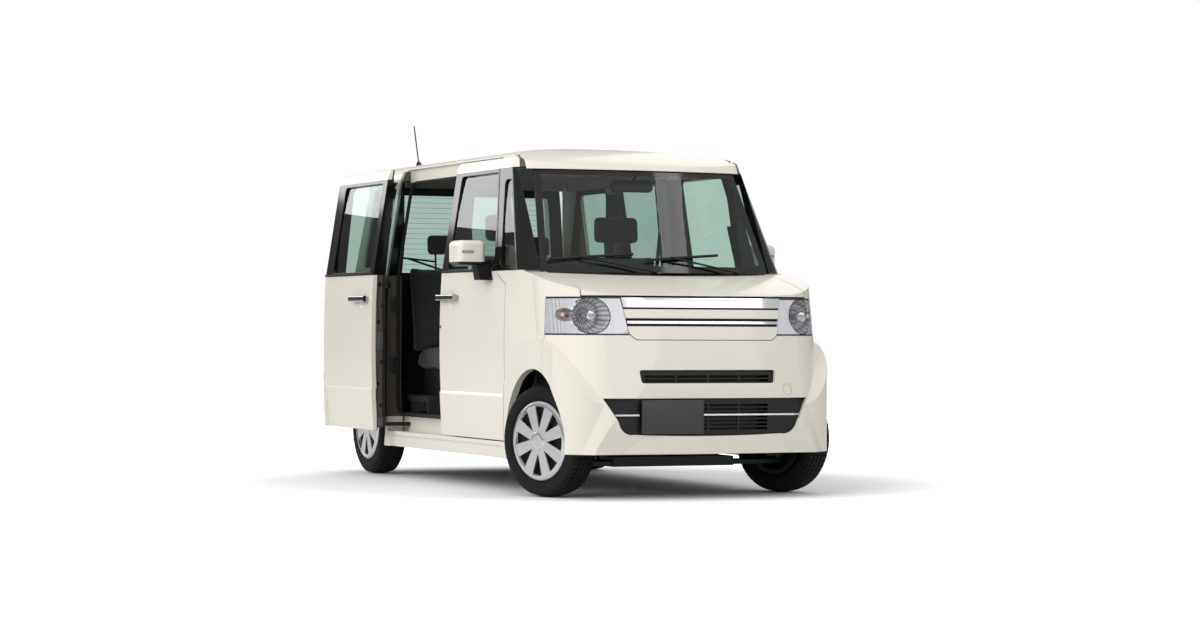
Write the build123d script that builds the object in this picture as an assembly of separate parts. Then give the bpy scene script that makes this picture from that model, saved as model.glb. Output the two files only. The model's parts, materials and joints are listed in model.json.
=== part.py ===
from build123d import *
import math
import os

os.makedirs("parts", exist_ok=True)

# Overall sizes in mm. The front faces -Y and the car's right side is -X.
length = 3395
width = 1475
height = 1780
wheelbase = 2520
track = 1305
front_overhang = 490

# Heights and half widths of the cabin's section, from the sill to the roof's edge.
sill_z = 172
sill_half = 718
waist_z = 720
waist_half = width / 2 - 1
crease_z = 485
crease_half = 735
crease_step = 5
crease_height = 12
belt_z = 1125
belt_half = 726
window_mid_z = 1390
window_mid_half = 692
window_top_z = 1640
window_top_half = 645
rail_z = 1698
rail_half = 627
roof_edge_z = 1735
roof_edge_half = 590

# Wall thicknesses.
panel_wall = 28
door_wall = 88
door_skin = 25
frame_wall = 45
glass_inset = 14
glass_thickness = 5

# Gaps between pieces.
panel_gap = 6
seam_gap = 3
hinge_gap = 8.5
pin_clearance = 0.3
seam_depth = 8
recess_depth = 14

# The nose in plan, at the height nose_datum, and how far it leans back per mm of height.
nose_datum = 600
nose_lean = 0.2
nose_corner_x = 520
nose_corner_y = -432
nose_mid_x = 664
nose_mid_y = -322
fender_half = 724
fender_y = -60

# The windscreen's foot in plan, its bow and its rake.
screen_datum = 1105
screen_foot_y = 60
screen_reach = 1000
screen_bow = 205
screen_rake = 0.56
screen_foot_half = 634
screen_head_half = 562
pillar_x = 660

# Tail.
tail_datum = 1125
tail_y = 2855
tail_lean = -0.1
tumblehome = 0.157

# Lines where the panels meet, counted from the front axle or the ground.
bonnet_half = 605
bonnet_edge_z = 985
bumper_top_z = 798
bumper_bottom_z = 222
bumper_side_y = -124
fender_rear_y = 378
fender_top_z = 1112
roof_half = 597
roof_front_z = 1642
roof_rear_y = 2736
tailgate_front_y = 2750
tailgate_half = 600
tailgate_top_half = 546
tailgate_bottom_z = 478
rear_bumper_z = 470
rear_bumper_y = 2740
rail_low_z = 1054
rail_high_z = 1082
rail_half_depth = 714
sill_line_z = 226
sill_line_height = 8
sill_line_depth = 5

# Grille and lamps: layers of the nose, counted in from its outer face.
bar_depth = 18
mesh_depth = 16
lens_wall = 5
grille_half = 438
grille_waist = 407
grille_waist_z = 842
grille_foot = 362
grille_foot_z = 774
bar_margin = 3
slat_pitch = 19
slat_height = 7
upright_width = 12
window_corner = 22
slot_corner = 12

# Wheels.
tyre_radius = 278
tyre_width = 155
bead_radius = 178
cover_radius = 196
arch_radius = 352
rear_arch_radius = 340
wheel_house_x = 380
rear_house_x = 534
spoke_count = 8
spindle_radius = 28
shaft_radius = 18

# Steering: the wheels stand turned to the left as photographed.
steer_rest = 20
front_rise = 0.6
ball_x = 622
ball_drop = 110
strut_top_x = 500
strut_top_rise = 500

# Hinges.
door_axis_x = 716
hinge_radius = 8
hinge_room = 0.5
door_axis_y = 440
door_hinge_heights = (430, 930)
pin_radius = 7
tailgate_pin = 5
bonnet_pin = 6
tailgate_axis_y = 2741
tailgate_axis_z = 1733
bonnet_axis_y = 112
bonnet_axis_z = 1088

# The open door's travel, outwards and to the rear.
slide_out = 135
slide_back = 715

front_y = front_overhang - length / 2
rear_axle = wheelbase
floor_z = 330
boot_z = 450


def at(y):
    return front_y + y


def side(y, z):
    return Vector(0, at(y), z)


def front(x, z):
    return Vector(x, 0, z)


def plan(x, y):
    return Vector(x, at(y), 0)


def disc(y, z):
    return Vector(0, y, z)


def ring(place, start, *legs):
    # A leg is one point for a straight run, or two for an arc through the first to the second.
    edges = []
    here = start
    for leg in legs:
        end = leg[-1]
        if len(leg) == 1:
            edges.append(Edge.make_line(place(*here), place(*end)))
        else:
            edges.append(Edge.make_three_point_arc(place(*here), place(*leg[0]), place(*end)))
        here = end
    if here != start:
        edges.append(Edge.make_line(place(*here), place(*start)))
    return Face(Wire(edges))


def polygon(place, *points):
    return ring(place, points[0], *[(p,) for p in points[1:]])


def across(face, x0, x1):
    return Solid.extrude(face.moved(Location((x0, 0, 0))), Vector(x1 - x0, 0, 0))


def along(face, y0, y1):
    return Solid.extrude(face.moved(Location((0, at(y0), 0))), Vector(0, y1 - y0, 0))


def upward(face, z0, z1, lean=(0, 0), datum=0):
    foot = Location((lean[0] * (z0 - datum), lean[1] * (z0 - datum), z0))
    rise = z1 - z0
    return Solid.extrude(face.moved(foot), Vector(lean[0] * rise, lean[1] * rise, rise))


def block(x0, x1, y0, y1, z0, z1):
    return across(polygon(side, (y0, z0), (y1, z0), (y1, z1), (y0, z1)), x0, x1)


def rod(start, end, radius):
    a = Vector(*start)
    way = Vector(*end) - a
    return Solid.make_cylinder(radius, way.length, Plane(origin=a, z_dir=way))


def flip(shape):
    return mirror(shape, about=Plane.YZ)


def pair(shape):
    return [shape, flip(shape)]


def group(*shapes):
    solids = []
    for shape in shapes:
        solids.extend(shape.solids())
    return Compound(children=solids)


def save(shape, name):
    export_step(shape, f"parts/{name}.step")
    print(name, len(shape.solids()))


def section(inset, roof_inset, base_z):
    s = inset
    edge = (roof_edge_half - s, roof_edge_z - roof_inset)
    rail = (rail_half - s, rail_z - roof_inset / 2)
    top = (window_top_half - s, window_top_z)
    mid = (window_mid_half - s, window_mid_z)
    belt = (belt_half - s, belt_z)
    waist = (waist_half - s, waist_z)
    crease = (crease_half - s, crease_z)
    above = (crease_half - crease_step - s, crease_z + crease_height)
    foot = (sill_half - s, sill_z)
    base = (sill_half - s, base_z - 1)

    def left(p):
        return (-p[0], p[1])

    face = ring(
        front, base, (foot,), (crease,), (above,), (waist, belt), (mid, top), (rail, edge),
        ((0, height - roof_inset), left(edge)), (left(rail), left(top)), (left(mid), left(belt)),
        (left(waist), left(above)), (left(crease),), (left(foot),), (left(base),))
    return along(face, -700, 3000)


def nose(inset):
    cx = nose_corner_x - inset
    cy = nose_corner_y + inset
    mx = nose_mid_x - 0.8 * inset
    my = nose_mid_y + 0.7 * inset
    fx = fender_half - inset
    bx = width / 2 + 3 - inset
    face = ring(
        plan, (-bx, 3000), ((-bx, fender_rear_y),), ((-fx, fender_y),),
        ((-mx, my), (-cx, cy)), ((0, -front_overhang - 5 + inset), (cx, cy)),
        ((mx, my), (fx, fender_y)), ((bx, fender_rear_y),), ((bx, 3000),))
    return upward(face, 100, 1300, (0, nose_lean), nose_datum)


def tail(inset):
    s = inset
    half = width / 2 + 3 - s
    face = ring(
        plan, (half, -700), ((half, 2180),), ((724 - s, 2600),),
        ((696 - s, 2800 - s), (560 - s, 2868 - s)), ((0, 2900 - s), (s - 560, 2868 - s)),
        ((s - 696, 2800 - s), (s - 724, 2600)), ((-half, 2180),), ((-half, -700),))
    return upward(face, 100, 1300)


def low_profile(inset, base_z):
    s = inset
    face = ring(
        side, (s - 455, base_z), ((s - 476, 330),), ((s - 482, 460), (s - 470, 610)),
        ((s - 448, 760), (s - 402, 962)), ((s - 388, 988 - s), (s - 355, 1002 - s)),
        ((-130, 1066 - s), (160, 1115 - s)), ((300, belt_z),), ((tail_y - s, belt_z),),
        ((2884 - s, 840), (2892 - s, 600)), ((2903 - s, 430), (2880 - s, base_z)))
    return across(face, -800, 800)


def lower_body(inset, base_z):
    return section(inset, 0, base_z) & nose(inset) & tail(inset) & low_profile(inset, base_z)


def screen(inset):
    y0 = screen_foot_y + inset
    y1 = y0 + screen_bow
    face = ring(
        plan, (-screen_reach, 4200), ((-screen_reach, y1),), ((0, y0), (screen_reach, y1)),
        ((screen_reach, 4200),))
    return upward(face, 100, 1900, (0, screen_rake), screen_datum)


def pillar_corner(hand):
    # The rounded edge of one windscreen pillar, tangent to the screen and to the car's side.
    half = belt_half + 3
    slope = 2 * screen_bow * pillar_x / screen_reach ** 2
    turn = math.atan2(1, slope)
    radius = (half - pillar_x) / (1 - math.cos(turn))
    start_y = screen_foot_y + screen_bow * (pillar_x / screen_reach) ** 2
    end_y = start_y + radius * math.sin(turn)
    mid_x = half - radius + radius * math.cos(turn / 2)
    mid_y = end_y - radius * math.sin(turn / 2)
    face = ring(
        plan, (hand * 1500, 4200), ((-hand * half, 4200),), ((-hand * half, end_y),),
        ((-hand * mid_x, mid_y), (-hand * pillar_x, start_y)), ((hand * 1500, -700),))
    lean = (hand * tumblehome, screen_rake - slope * tumblehome)
    return upward(face, 1000, 1900, lean, screen_datum)


def rear_corner(hand):
    half = belt_half + 3
    face = ring(
        plan, (hand * 1500, -700), ((-hand * half, -700),), ((-hand * half, 2690),),
        ((-hand * 690, 2818), (-hand * 580, tail_y)), ((hand * 1500, tail_y),))
    return upward(face, 1050, 1900, (hand * tumblehome, tail_lean), tail_datum)


def roof_profile():
    face = ring(
        side, (-100, 1100), ((-100, 1600),), ((318, 1640),), ((640, 1736), (1300, height + 1)),
        ((2050, 1775), (2745, 1737)), ((2790, 1722), (2808, 1688)), ((3000, 1688),), ((3000, 1100),))
    return across(face, -800, 800)


upper = section(0, 0, sill_z) & roof_profile()
upper = upper & screen(0)
for hand in (-1, 1):
    upper = upper & rear_corner(hand) & pillar_corner(hand)
lower = lower_body(0, sill_z)


def lip():
    # The flare over the front wheels and the bumper's lip, as one band.
    half = width / 2
    face = ring(
        plan, (-half, 700), ((-half, -225),), ((-698, -372), (-560, -446)),
        ((0, -front_overhang), (560, -446)), ((698, -372), (half, -225)), ((half, 700),))
    band = across(ring(
        side, (420, sill_z), ((420, 378),), ((300, 668), (7, 788)), ((-110, 782), (-215, 752)),
        ((-385, 575), (-500, 296)), ((-500, sill_z),)), -800, 800)
    return upward(face, sill_z, 1000) & band


def rear_lip():
    half = width / 2
    face = ring(
        plan, (-half, 1900), ((-half, 2730),), ((-706, 2838), (-600, 2884)),
        ((0, length - front_overhang), (600, 2884)), ((706, 2838), (half, 2730)), ((half, 1900),))
    y = rear_axle
    band = across(ring(
        side, (y - 420, sill_z), ((y - 420, 378),), ((y - 290, 668), (y, 780)),
        ((y + 230, 700), (y + 330, 480)), ((3000, 480),), ((3000, sill_z),)), -800, 800)
    return upward(face, sill_z, 1000) & band


def arch(y, radius, x0):
    return rod((x0, at(y), tyre_radius), (x0 + 600, at(y), tyre_radius), radius)


outer = upper + lower + lip() + rear_lip()
for wheel_y, radius, x0 in ((0, arch_radius, wheel_house_x), (rear_axle, rear_arch_radius, rear_house_x)):
    for hole in pair(arch(wheel_y, radius, x0)):
        outer = outer - hole

# The cabin's inside.
cabin_half = waist_half - door_wall
cabin_section = ring(
    front, (cabin_half, 100), ((cabin_half, belt_z),), ((window_top_half - frame_wall, 1600),),
    ((548, 1690),), ((0, 1742), (-548, 1690)), ((frame_wall - window_top_half, 1600),),
    ((-cabin_half, belt_z),), ((-cabin_half, 100),))
cabin_profile = ring(
    side, (215, 100), ((215, 1470),), ((500, 1655),), ((820, 1722), (1300, 1742)),
    ((2050, 1736), (2680, 1700)), ((2738, 1640),), ((2790, belt_z),), ((2815, 700),), ((2815, 100),))
cabin = along(cabin_section, 0, 3000) & across(cabin_profile, -800, 800) & screen(32)
for tub in pair(arch(rear_axle, rear_arch_radius + 14, rear_house_x - 14)):
    cabin = cabin - tub

# The engine bay, open below.
bay = section(panel_wall, 0, 100) & nose(panel_wall) & low_profile(panel_wall, 100)
bay = bay & block(-800, 800, -700, 420, 100, 1300)
shell = outer - cabin
nose_shell = (outer & block(-800, 800, -700, 520, 100, 1300)) - bay

# Door outlines, from the front axle.
front_door_y0 = fender_rear_y + hinge_gap
front_door_y1 = 1315
slide_door_y0 = front_door_y1 + panel_gap
slide_door_y1 = 2158
door_bottom_z = 262
door_top_z = 1706


def front_door_outline(grow):
    g = grow
    return polygon(
        side, (front_door_y0 - g, door_bottom_z - g), (front_door_y1 + g, door_bottom_z - g),
        (front_door_y1 + g, 1050), (front_door_y1 - 6 + g, door_top_z + g), (706 - g, door_top_z + g),
        (520 - g, 1108 + g), (front_door_y0 - g, 1048 + g))


def slide_door_outline(grow):
    g = grow
    return polygon(
        side, (slide_door_y0 - g, door_bottom_z - g), (slide_door_y1 + g - 30, door_bottom_z - g),
        (slide_door_y1 + g, 420), (slide_door_y1 + g, door_top_z + g), (slide_door_y0 - g, door_top_z + g))


def rounded(place, corner, *points):
    face = polygon(place, *points)
    return face.fillet_2d(corner, face.vertices())


def window(place, *points):
    return rounded(place, window_corner, *points)


def shell_band(inset, thickness):
    inside = inset + thickness
    return section(inset, inset, 100) - section(inside, inside, 100)


front_window = window(side, (556, 1137), (1228, 1137), (1222, 1632), (692, 1632))
slide_window = window(side, (1385, 1140), (2035, 1140), (2035, 1632), (1385, 1632))
quarter_window = window(side, (2250, 1170), (2640, 1170), (2620, 1615), (2250, 1615))
pillar_window = window(side, (262, 1140), (466, 1140), (585, 1590), (496, 1590))

skin_core = section(door_skin, door_skin, 100)
glass_band = shell_band(glass_inset, glass_thickness)


def door(outline, window):
    # Right-hand door: a skin to the outline and an inner box set in from it.
    core = across(outline(-14), -800, -400)
    skin = across(outline(0), -800, -400)
    solid = (shell & skin) - ((skin - core) & skin_core)
    solid = solid - block(-roof_half - panel_gap, 0, 0, 3000, roof_front_z - panel_gap, 1900)
    return solid - across(window, -800, -400)


def pane(window):
    return glass_band & across(window, -800, -400)


front_door = door(front_door_outline, front_window)
slide_door = door(slide_door_outline, slide_window)

# Hinge notches and bores of the front doors, on the right.
axis_y = at(door_axis_y)
for z in door_hinge_heights:
    notch_x = -door_axis_x - hinge_radius - hinge_room
    front_door = front_door - block(notch_x, -500, front_door_y0 - 20, door_axis_y + 26, z - 28, z + 28)
    front_door = front_door - rod(
        (-door_axis_x, axis_y, z - 50), (-door_axis_x, axis_y, z + 50), pin_radius + pin_clearance)


def tailgate_outline(grow):
    low = tailgate_half + grow
    high = tailgate_top_half + grow
    return polygon(
        front, (-low, 100), (low, 100), (low, belt_z), (high, 1690), (high, 1900), (-high, 1900),
        (-high, 1690), (-low, belt_z))


screen_hole = polygon(
    front, (-screen_foot_half, fender_top_z), (screen_foot_half, fender_top_z),
    (screen_head_half, roof_front_z), (-screen_head_half, roof_front_z))
screen_prism = along(screen_hole, -300, 620)
lamp_zone = block(-800, -tailgate_half - panel_gap, 2730, 3000, 770, 1150)
rear_low = block(-800, 800, rear_bumper_y, 3000, 100, rear_bumper_z)

# Side frames: what is left of the shell's sides, with the sill's riser and the inner posts.
side_right = shell & block(-800, 0, 0, 3000, 100, 1900)
side_right = side_right - block(-800, 0, -50, fender_rear_y, 100, fender_top_z)
side_right = side_right - across(front_door_outline(panel_gap), -800, -500)
side_right = side_right - across(slide_door_outline(panel_gap), -800, -500)
side_right = side_right - block(-roof_half, 10, -50, 3000, roof_front_z, 1900)
tailgate_room = along(tailgate_outline(panel_gap), 2740, 3000) - block(-800, 800, 2600, 2812, 100, 600)
side_right = side_right - screen_prism - tailgate_room
side_right = side_right - block(-screen_foot_half, 10, -50, 3000, 100, roof_front_z)
side_right = side_right - lamp_zone - rear_low - across(pillar_window, -800, -400)
side_right = side_right - across(quarter_window, -800, -400)
riser = block(-632, -592, 392, 2158, sill_z, 345)
sill_link = block(-700, -592, 392, 2158, sill_z, 250)
hinge_post = block(-632, -592, 400, 480, sill_z, 1112) + block(-670, -592, 400, 480, 1108, 1150)
b_post = along(polygon(
    front, (-632, sill_z), (-632, 1100), (-591, 1590), (-574, 1645), (-553.7, 1680), (-530, 1680),
    (-545, 1600), (-592, 1100), (-592, sill_z)), 1285, 1370)
side_right = side_right + sill_link + riser + hinge_post + b_post

# Grooves: the sliding door's middle rail in the rear quarter, the roof's edges and the sill's step line.
side_right = side_right - block(
    -800, -rail_half_depth, slide_door_y1 + panel_gap, rear_bumper_y, rail_low_z, rail_high_z)
ditch = shell_band(0, seam_depth) & block(
    -roof_half - panel_gap, panel_gap - roof_half, 520, roof_rear_y - 20, roof_front_z + 30, 1900)
side_right = side_right - ditch
sill_line = shell_band(0, sill_line_depth) & block(
    -800, -600, fender_rear_y + 20, 2100, sill_line_z, sill_line_z + sill_line_height)
side_right = side_right - sill_line
for z in door_hinge_heights:
    side_right = side_right + block(
        -door_axis_x, -630, door_axis_y - hinge_radius, door_axis_y + hinge_radius, z - 22, z + 22)
    side_right = side_right + rod(
        (-door_axis_x, axis_y, z - 22), (-door_axis_x, axis_y, z + 22), hinge_radius)
    side_right = side_right + rod(
        (-door_axis_x, axis_y, z - 48), (-door_axis_x, axis_y, z + 48), pin_radius)

# Roof, tailgate, rear bumper and tail lamps.
roof = (shell & block(-roof_half, roof_half, -50, roof_rear_y, roof_front_z, 1900)) - screen_prism
roof = roof - pair(ditch)
tailgate = shell & along(tailgate_outline(0), tailgate_front_y, 3000)
tailgate = tailgate & block(-800, 800, 2600, 3000, tailgate_bottom_z, 1900)
tailgate_window = window(front, (-520, 1150), (520, 1150), (476, 1600), (-476, 1600))
tailgate = tailgate - along(tailgate_window, 2600, 3000) - block(-800, 800, 2600, 2814, 100, 600)
plate_recess = along(window(front, (-235, 640), (235, 640), (250, 800), (-250, 800)), 2700, 3000)
tailgate = tailgate - (plate_recess - (tail(recess_depth) & low_profile(recess_depth, 100)))
rear_bumper = shell & rear_low
tail_lamp = shell & lamp_zone


def tailgate_rod(x0, x1, radius):
    return rod((x0, at(tailgate_axis_y), tailgate_axis_z), (x1, at(tailgate_axis_y), tailgate_axis_z), radius)


# The tailgate's two hinges: a pin that the roof holds, through a lug on the tailgate.
for notch in pair(block(-422, -376, 2716, 2740, 1715, 1800)):
    roof = roof - notch
for holder in pair(block(-376, -340, 2730, 2745, 1724, 1738) + tailgate_rod(-422, -340, tailgate_pin)):
    roof = roof + holder
lug = tailgate_rod(-414, -384, 9) + block(-414, -384, tailgate_axis_y, tailgate_front_y + 6, 1724, 1735)
for bored_lug in pair(lug - tailgate_rod(-422, -340, tailgate_pin + pin_clearance)):
    tailgate = tailgate + bored_lug

# Nose panels.
bonnet_plan = ring(
    plan, (-bonnet_half, 92), ((-bonnet_half, -700),), ((bonnet_half, -700),), ((bonnet_half, 92),),
    ((0, 14), (-bonnet_half, 92)))
bonnet = nose_shell & upward(bonnet_plan, bonnet_edge_z + panel_gap, 1300)
room_half = bonnet_half + panel_gap
bonnet_room = ring(
    plan, (-room_half, 100), ((-room_half, -700),), ((room_half, -700),), ((room_half, 100),),
    ((0, 22), (-room_half, 100)))
ahead = block(-800, 800, -700, 700, 1000, 1300) - screen(-2)
fender = nose_shell & block(-800, 0, -700, fender_rear_y, 100, fender_top_z)
fender = fender - upward(bonnet_room, bonnet_edge_z, 1300)
fender = fender - block(-800, 0, -700, bumper_side_y, 100, bonnet_edge_z)
fender = fender - block(-room_half, 10, -700, 700, 100, 1300)
cowl = nose_shell & ahead & block(-room_half, room_half, -50, 300, 1000, 1300)
cowl = (cowl & block(-552, 552, -50, 300, 1000, 1300)) + block(-552, 552, 10, 190, 1056, 1076)
cowl = cowl - upward(bonnet_room, 900, 1300)


def bonnet_rod(x0, x1, radius):
    return rod((x0, at(bonnet_axis_y), bonnet_axis_z), (x1, at(bonnet_axis_y), bonnet_axis_z), radius)


# The bonnet's two hinges, on pins that the fenders hold.
fender = fender + bonnet_rod(-650, -560, bonnet_pin)
for lug in pair(bonnet_rod(-596, -566, 10) + block(-596, -566, 66, bonnet_axis_y, 1081, 1095)):
    bonnet = bonnet + lug
for bore in pair(bonnet_rod(-601, -561, bonnet_pin + pin_clearance)):
    bonnet = bonnet - bore


def nose_layer(inset):
    return section(inset, 0, 100) & nose(inset) & low_profile(inset, 100)


def grille_outline(grow):
    g = grow
    return ring(
        front, (-grille_half - g, 1010), ((grille_half + g, 1010),), ((grille_waist + g, grille_waist_z),),
        ((396 + g, 798 - g), (grille_foot + g, grille_foot_z - g)), ((-grille_foot - g, grille_foot_z - g),),
        ((-396 - g, 798 - g), (-grille_waist - g, grille_waist_z)))


# Bumper, with the grille's foot let into its top edge and two openings below.
grille_prism = along(grille_outline(0), -700, -200)
mouth = along(ring(
    front, (-550, 493), ((550, 493),), ((482, 376),), ((452, 330), (395, 318)), ((0, 309), (-395, 318)),
    ((-452, 330), (-482, 376))), -700, -200)
slot = along(rounded(front, slot_corner, (-367, 630), (367, 630), (358, 566), (-358, 566)), -700, -200)
bumper = nose_shell & block(-800, 800, -700, bumper_side_y - seam_gap, bumper_bottom_z, bumper_top_z)
bumper = bumper - grille_prism - mouth - slot

# Grille: painted bars and bright bars on a dark backing.
grille_room = nose_shell & grille_prism & block(-800, 800, -700, bumper_side_y, 700, bonnet_edge_z)
grille_backing = grille_room & nose_layer(bar_depth)
grille_face = (grille_room - nose_layer(bar_depth)) & along(grille_outline(-bar_margin), -700, -200)


def grille_bar(z0, z1):
    return grille_face & block(-500, 500, -700, -200, z0, z1)


painted_bars = [grille_bar(881, 925), grille_bar(774, 842)]
bright_bars = [grille_bar(934, 982), grille_bar(855, 868)]

# Slatted inserts of the two openings. Columns: outline, uprights, lowest hole, highest hole.
mesh_layer = nose_layer(mesh_depth) & nose_shell
inserts = [grille_backing]
for outline, uprights, z0, z1 in (
        (mouth, (-330, -165, 0, 165, 330), 338, 484), (slot, (-340, -170, 0, 170, 340), 573, 624)):
    insert = mesh_layer & outline
    holes = []
    for left_x, right_x in zip(uprights, uprights[1:]):
        for row in range(int((z1 - z0) / slat_pitch)):
            low = z0 + row * slat_pitch
            holes.append(block(
                left_x + upright_width / 2, right_x - upright_width / 2, -700, -200, low,
                low + slat_pitch - slat_height))
    inserts.append(insert - holes)
strip_layer = (nose_shell - nose_layer(mesh_depth)) & nose_layer(6)
strips = [strip_layer & block(x0, x1, -700, -200, 408, 416) for x0, x1 in ((-496, -372), (-28, 496))]
radiator = block(-300, 300, -398, -350, 330, 640)

# Glass.
windscreen = (screen(8) - screen(8 + glass_thickness)) & screen_prism & section(2, 2, 100)
rear_pane = upper & along(tailgate_window, 2600, 3000) & block(-800, 800, 2600, 3000, 1150, 1600)
rear_pane = rear_pane - rear_pane.moved(Location((0, -glass_thickness, 0)))
front_pane = pane(front_window)
slide_pane = pane(slide_window)
quarter_pane = pane(quarter_window)
pillar_pane = pane(pillar_window)

# Lamps: a clear lens over a solid housing with round reflector bowls and their bulbs.
lamp_room = block(-800, 0, -700, bumper_side_y, bumper_top_z, bonnet_edge_z) - grille_prism
lens = (nose_shell & lamp_room) - nose_layer(lens_wall)
housing = nose_layer(lens_wall) & lamp_room
for x, y, z, radius, bulb in ((-572, -318, 893, 84, 15), (-668, -206, 897, 33, 9)):
    centre = Vector(x, at(y), z)
    back = centre + Vector(0, radius, 0)
    bowl = rod((x, at(-700), z), centre, radius) + Solid.make_sphere(radius, Plane(origin=centre))
    bulb_end = centre - Vector(0, 0.2 * radius, 0)
    stem = rod(back + Vector(0, 4, 0), bulb_end, bulb) + Solid.make_sphere(1.3 * bulb, Plane(origin=bulb_end))
    housing = (housing - bowl) + (stem & nose_layer(lens_wall + 4))

# Roof aerial, wipers and mirrors.
antenna_x = -470
antenna_y = 2377
roof_probe = roof & rod((antenna_x, at(antenna_y), 1000), (antenna_x, at(antenna_y), 2 * height), 1)
antenna_foot = Vector(antenna_x, at(antenna_y), roof_probe.bounding_box().max.Z - 10)
antenna = Solid.make_cone(24, 10, 34, Plane(origin=antenna_foot, z_dir=(0, 0.36, 1)))
antenna = (antenna + rod(antenna_foot, antenna_foot + Vector(0, 88, 240), 3.5)) - roof


def on_screen(x, z, off):
    y = screen_foot_y + screen_bow * (x / screen_reach) ** 2 + screen_rake * (z - screen_datum) - off
    return Vector(x, at(y), z)


wiper_arms = []
for foot_x, tip_x, blade_x0, blade_x1 in ((-60, -430, -590, -150), (420, 60, -80, 330)):
    foot = on_screen(foot_x, 1106, 6)
    tip = on_screen(tip_x, 1190, 22)
    arm = rod(foot, foot + Vector(0, -10, 16), 11) + rod(foot + Vector(0, -8, 12), tip, 5)
    blade = rod(on_screen(blade_x0, 1176, 15), on_screen(blade_x1, 1206, 15), 7)
    wiper_arms.append((arm + rod(tip, on_screen(tip_x, 1190, 12), 6) + blade) - cowl)

mirror_y = 672
mirror_z = 1213
mirror_body = fillet(Box(150, 165, 130).edges(), 28).moved(Location((-828, at(mirror_y), mirror_z)))
mirror_arm = across(polygon(side, (560, 1075), (640, 1075), (690, 1180), (620, 1180)), -800, -700)
door_mirror = (mirror_body + mirror_arm) - section(0, 0, 100) - front_door

handle_z = 990
cup_radius = 55
cup_depth = 16


def handle_cup(y):
    # A shallow dish in the door's skin, behind the handle.
    ball_radius = (cup_radius ** 2 + cup_depth ** 2) / (2 * cup_depth)
    centre = Vector(cup_depth - waist_half - ball_radius, at(y), handle_z)
    return Solid.make_sphere(ball_radius, Plane(origin=centre))


def handle(y0, y1):
    bar = fillet(Box(22, y1 - y0, 34).edges().filter_by(Axis.Y), 8)
    bar = bar.moved(Location((-waist_half - 22, at((y0 + y1) / 2), handle_z)))
    feet = block(-waist_half - 24, -waist_half + 20, y0 + 8, y0 + 38, handle_z - 12, handle_z + 12)
    feet = feet + block(-waist_half - 24, -waist_half + 20, y1 - 60, y1 - 8, handle_z - 14, handle_z + 14)
    return (bar + feet) - section(0, 0, 100)


front_handle = handle(1040, 1296)
slide_handle = handle(1372, 1628)
front_door = front_door - handle_cup(1157)
slide_door = slide_door - handle_cup(1489)

# Inside the cabin.
dash = across(ring(
    side, (215, 690), ((215, 1062),), ((330, 1092), (470, 1070)), ((545, 1030), (560, 960)),
    ((500, 800),), ((420, 700),)), -556, 556)
binnacle = fillet(Box(330, 120, 90).edges(), 25).moved(Location((-330, at(470), 1085)))
dash = dash + binnacle
seat_profile = ring(
    side, (760, 560), ((745, 640), (790, 688)), ((1000, 660), (1190, 655)), ((1330, 1240),),
    ((1365, 1268), (1408, 1240)), ((1330, 800), (1280, 560)))
head_profile = ring(side, (1335, 1290), ((1350, 1440), (1390, 1470)), ((1440, 1440), (1425, 1290)))
rear_profile = ring(
    side, (1900, 600), ((1885, 680), (1930, 726)), ((2130, 700), (2310, 690)), ((2450, 1190),),
    ((2480, 1215), (2520, 1190)), ((2460, 840), (2410, 600)))
rear_head_profile = ring(side, (2440, 1240), ((2450, 1360), (2490, 1390)), ((2535, 1360), (2525, 1240)))


def seat(profile, head, x0, x1, base_y0, base_y1, base_z, foot_z):
    mid = (x0 + x1) / 2
    body = fillet(across(profile, x0, x1).edges(), 24)
    rest = fillet(across(head, mid - 130, mid + 130).edges(), 24)
    base = block(x0 + 60, x1 - 60, base_y0, base_y1, foot_z, base_z + 40)
    stem_y = head.bounding_box().center().Y - 14
    stem_z = head.bounding_box().min.Z
    for x in (mid - 70, mid + 70):
        body = body + rod((x, stem_y - 20, stem_z - 120), (x, stem_y + 12, stem_z + 40), 7)
    return body + base + rest


front_seats = pair(seat(seat_profile, head_profile, -560, -80, 860, 1220, 560, floor_z))
rear_seats = pair(seat(rear_profile, rear_head_profile, -515, -8, 2000, 2330, 600, boot_z))

# Steering wheel, on the right.
wheel_x = -330
column_tilt = math.radians(32)
column_way = (0, math.cos(column_tilt), math.sin(column_tilt))
column = Plane(origin=(wheel_x, at(650), 1030), z_dir=column_way)
steering_wheel = Solid.make_torus(178, 13, column)
hub = Solid.make_cylinder(58, 46, column.offset(-36))
steering_wheel = steering_wheel + hub
for angle in (0, 120, 240):
    spoke = Solid.make_box(176, 34, 16, Plane((0, -17, -12)))
    steering_wheel = steering_wheel + spoke.rotate(Axis.Z, angle + 30).moved(column.location)
steering_wheel = steering_wheel + Solid.make_cylinder(shaft_radius, 160, column.offset(-170))
column_bore = Solid.make_cylinder(shaft_radius + pin_clearance, 140, column.offset(-180))
column_shroud = Solid.make_cylinder(46, 130, column.offset(-176)) - column_bore
dash = (dash - Solid.make_cylinder(shaft_radius + 1, 140, column.offset(-190))) + column_shroud

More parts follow.
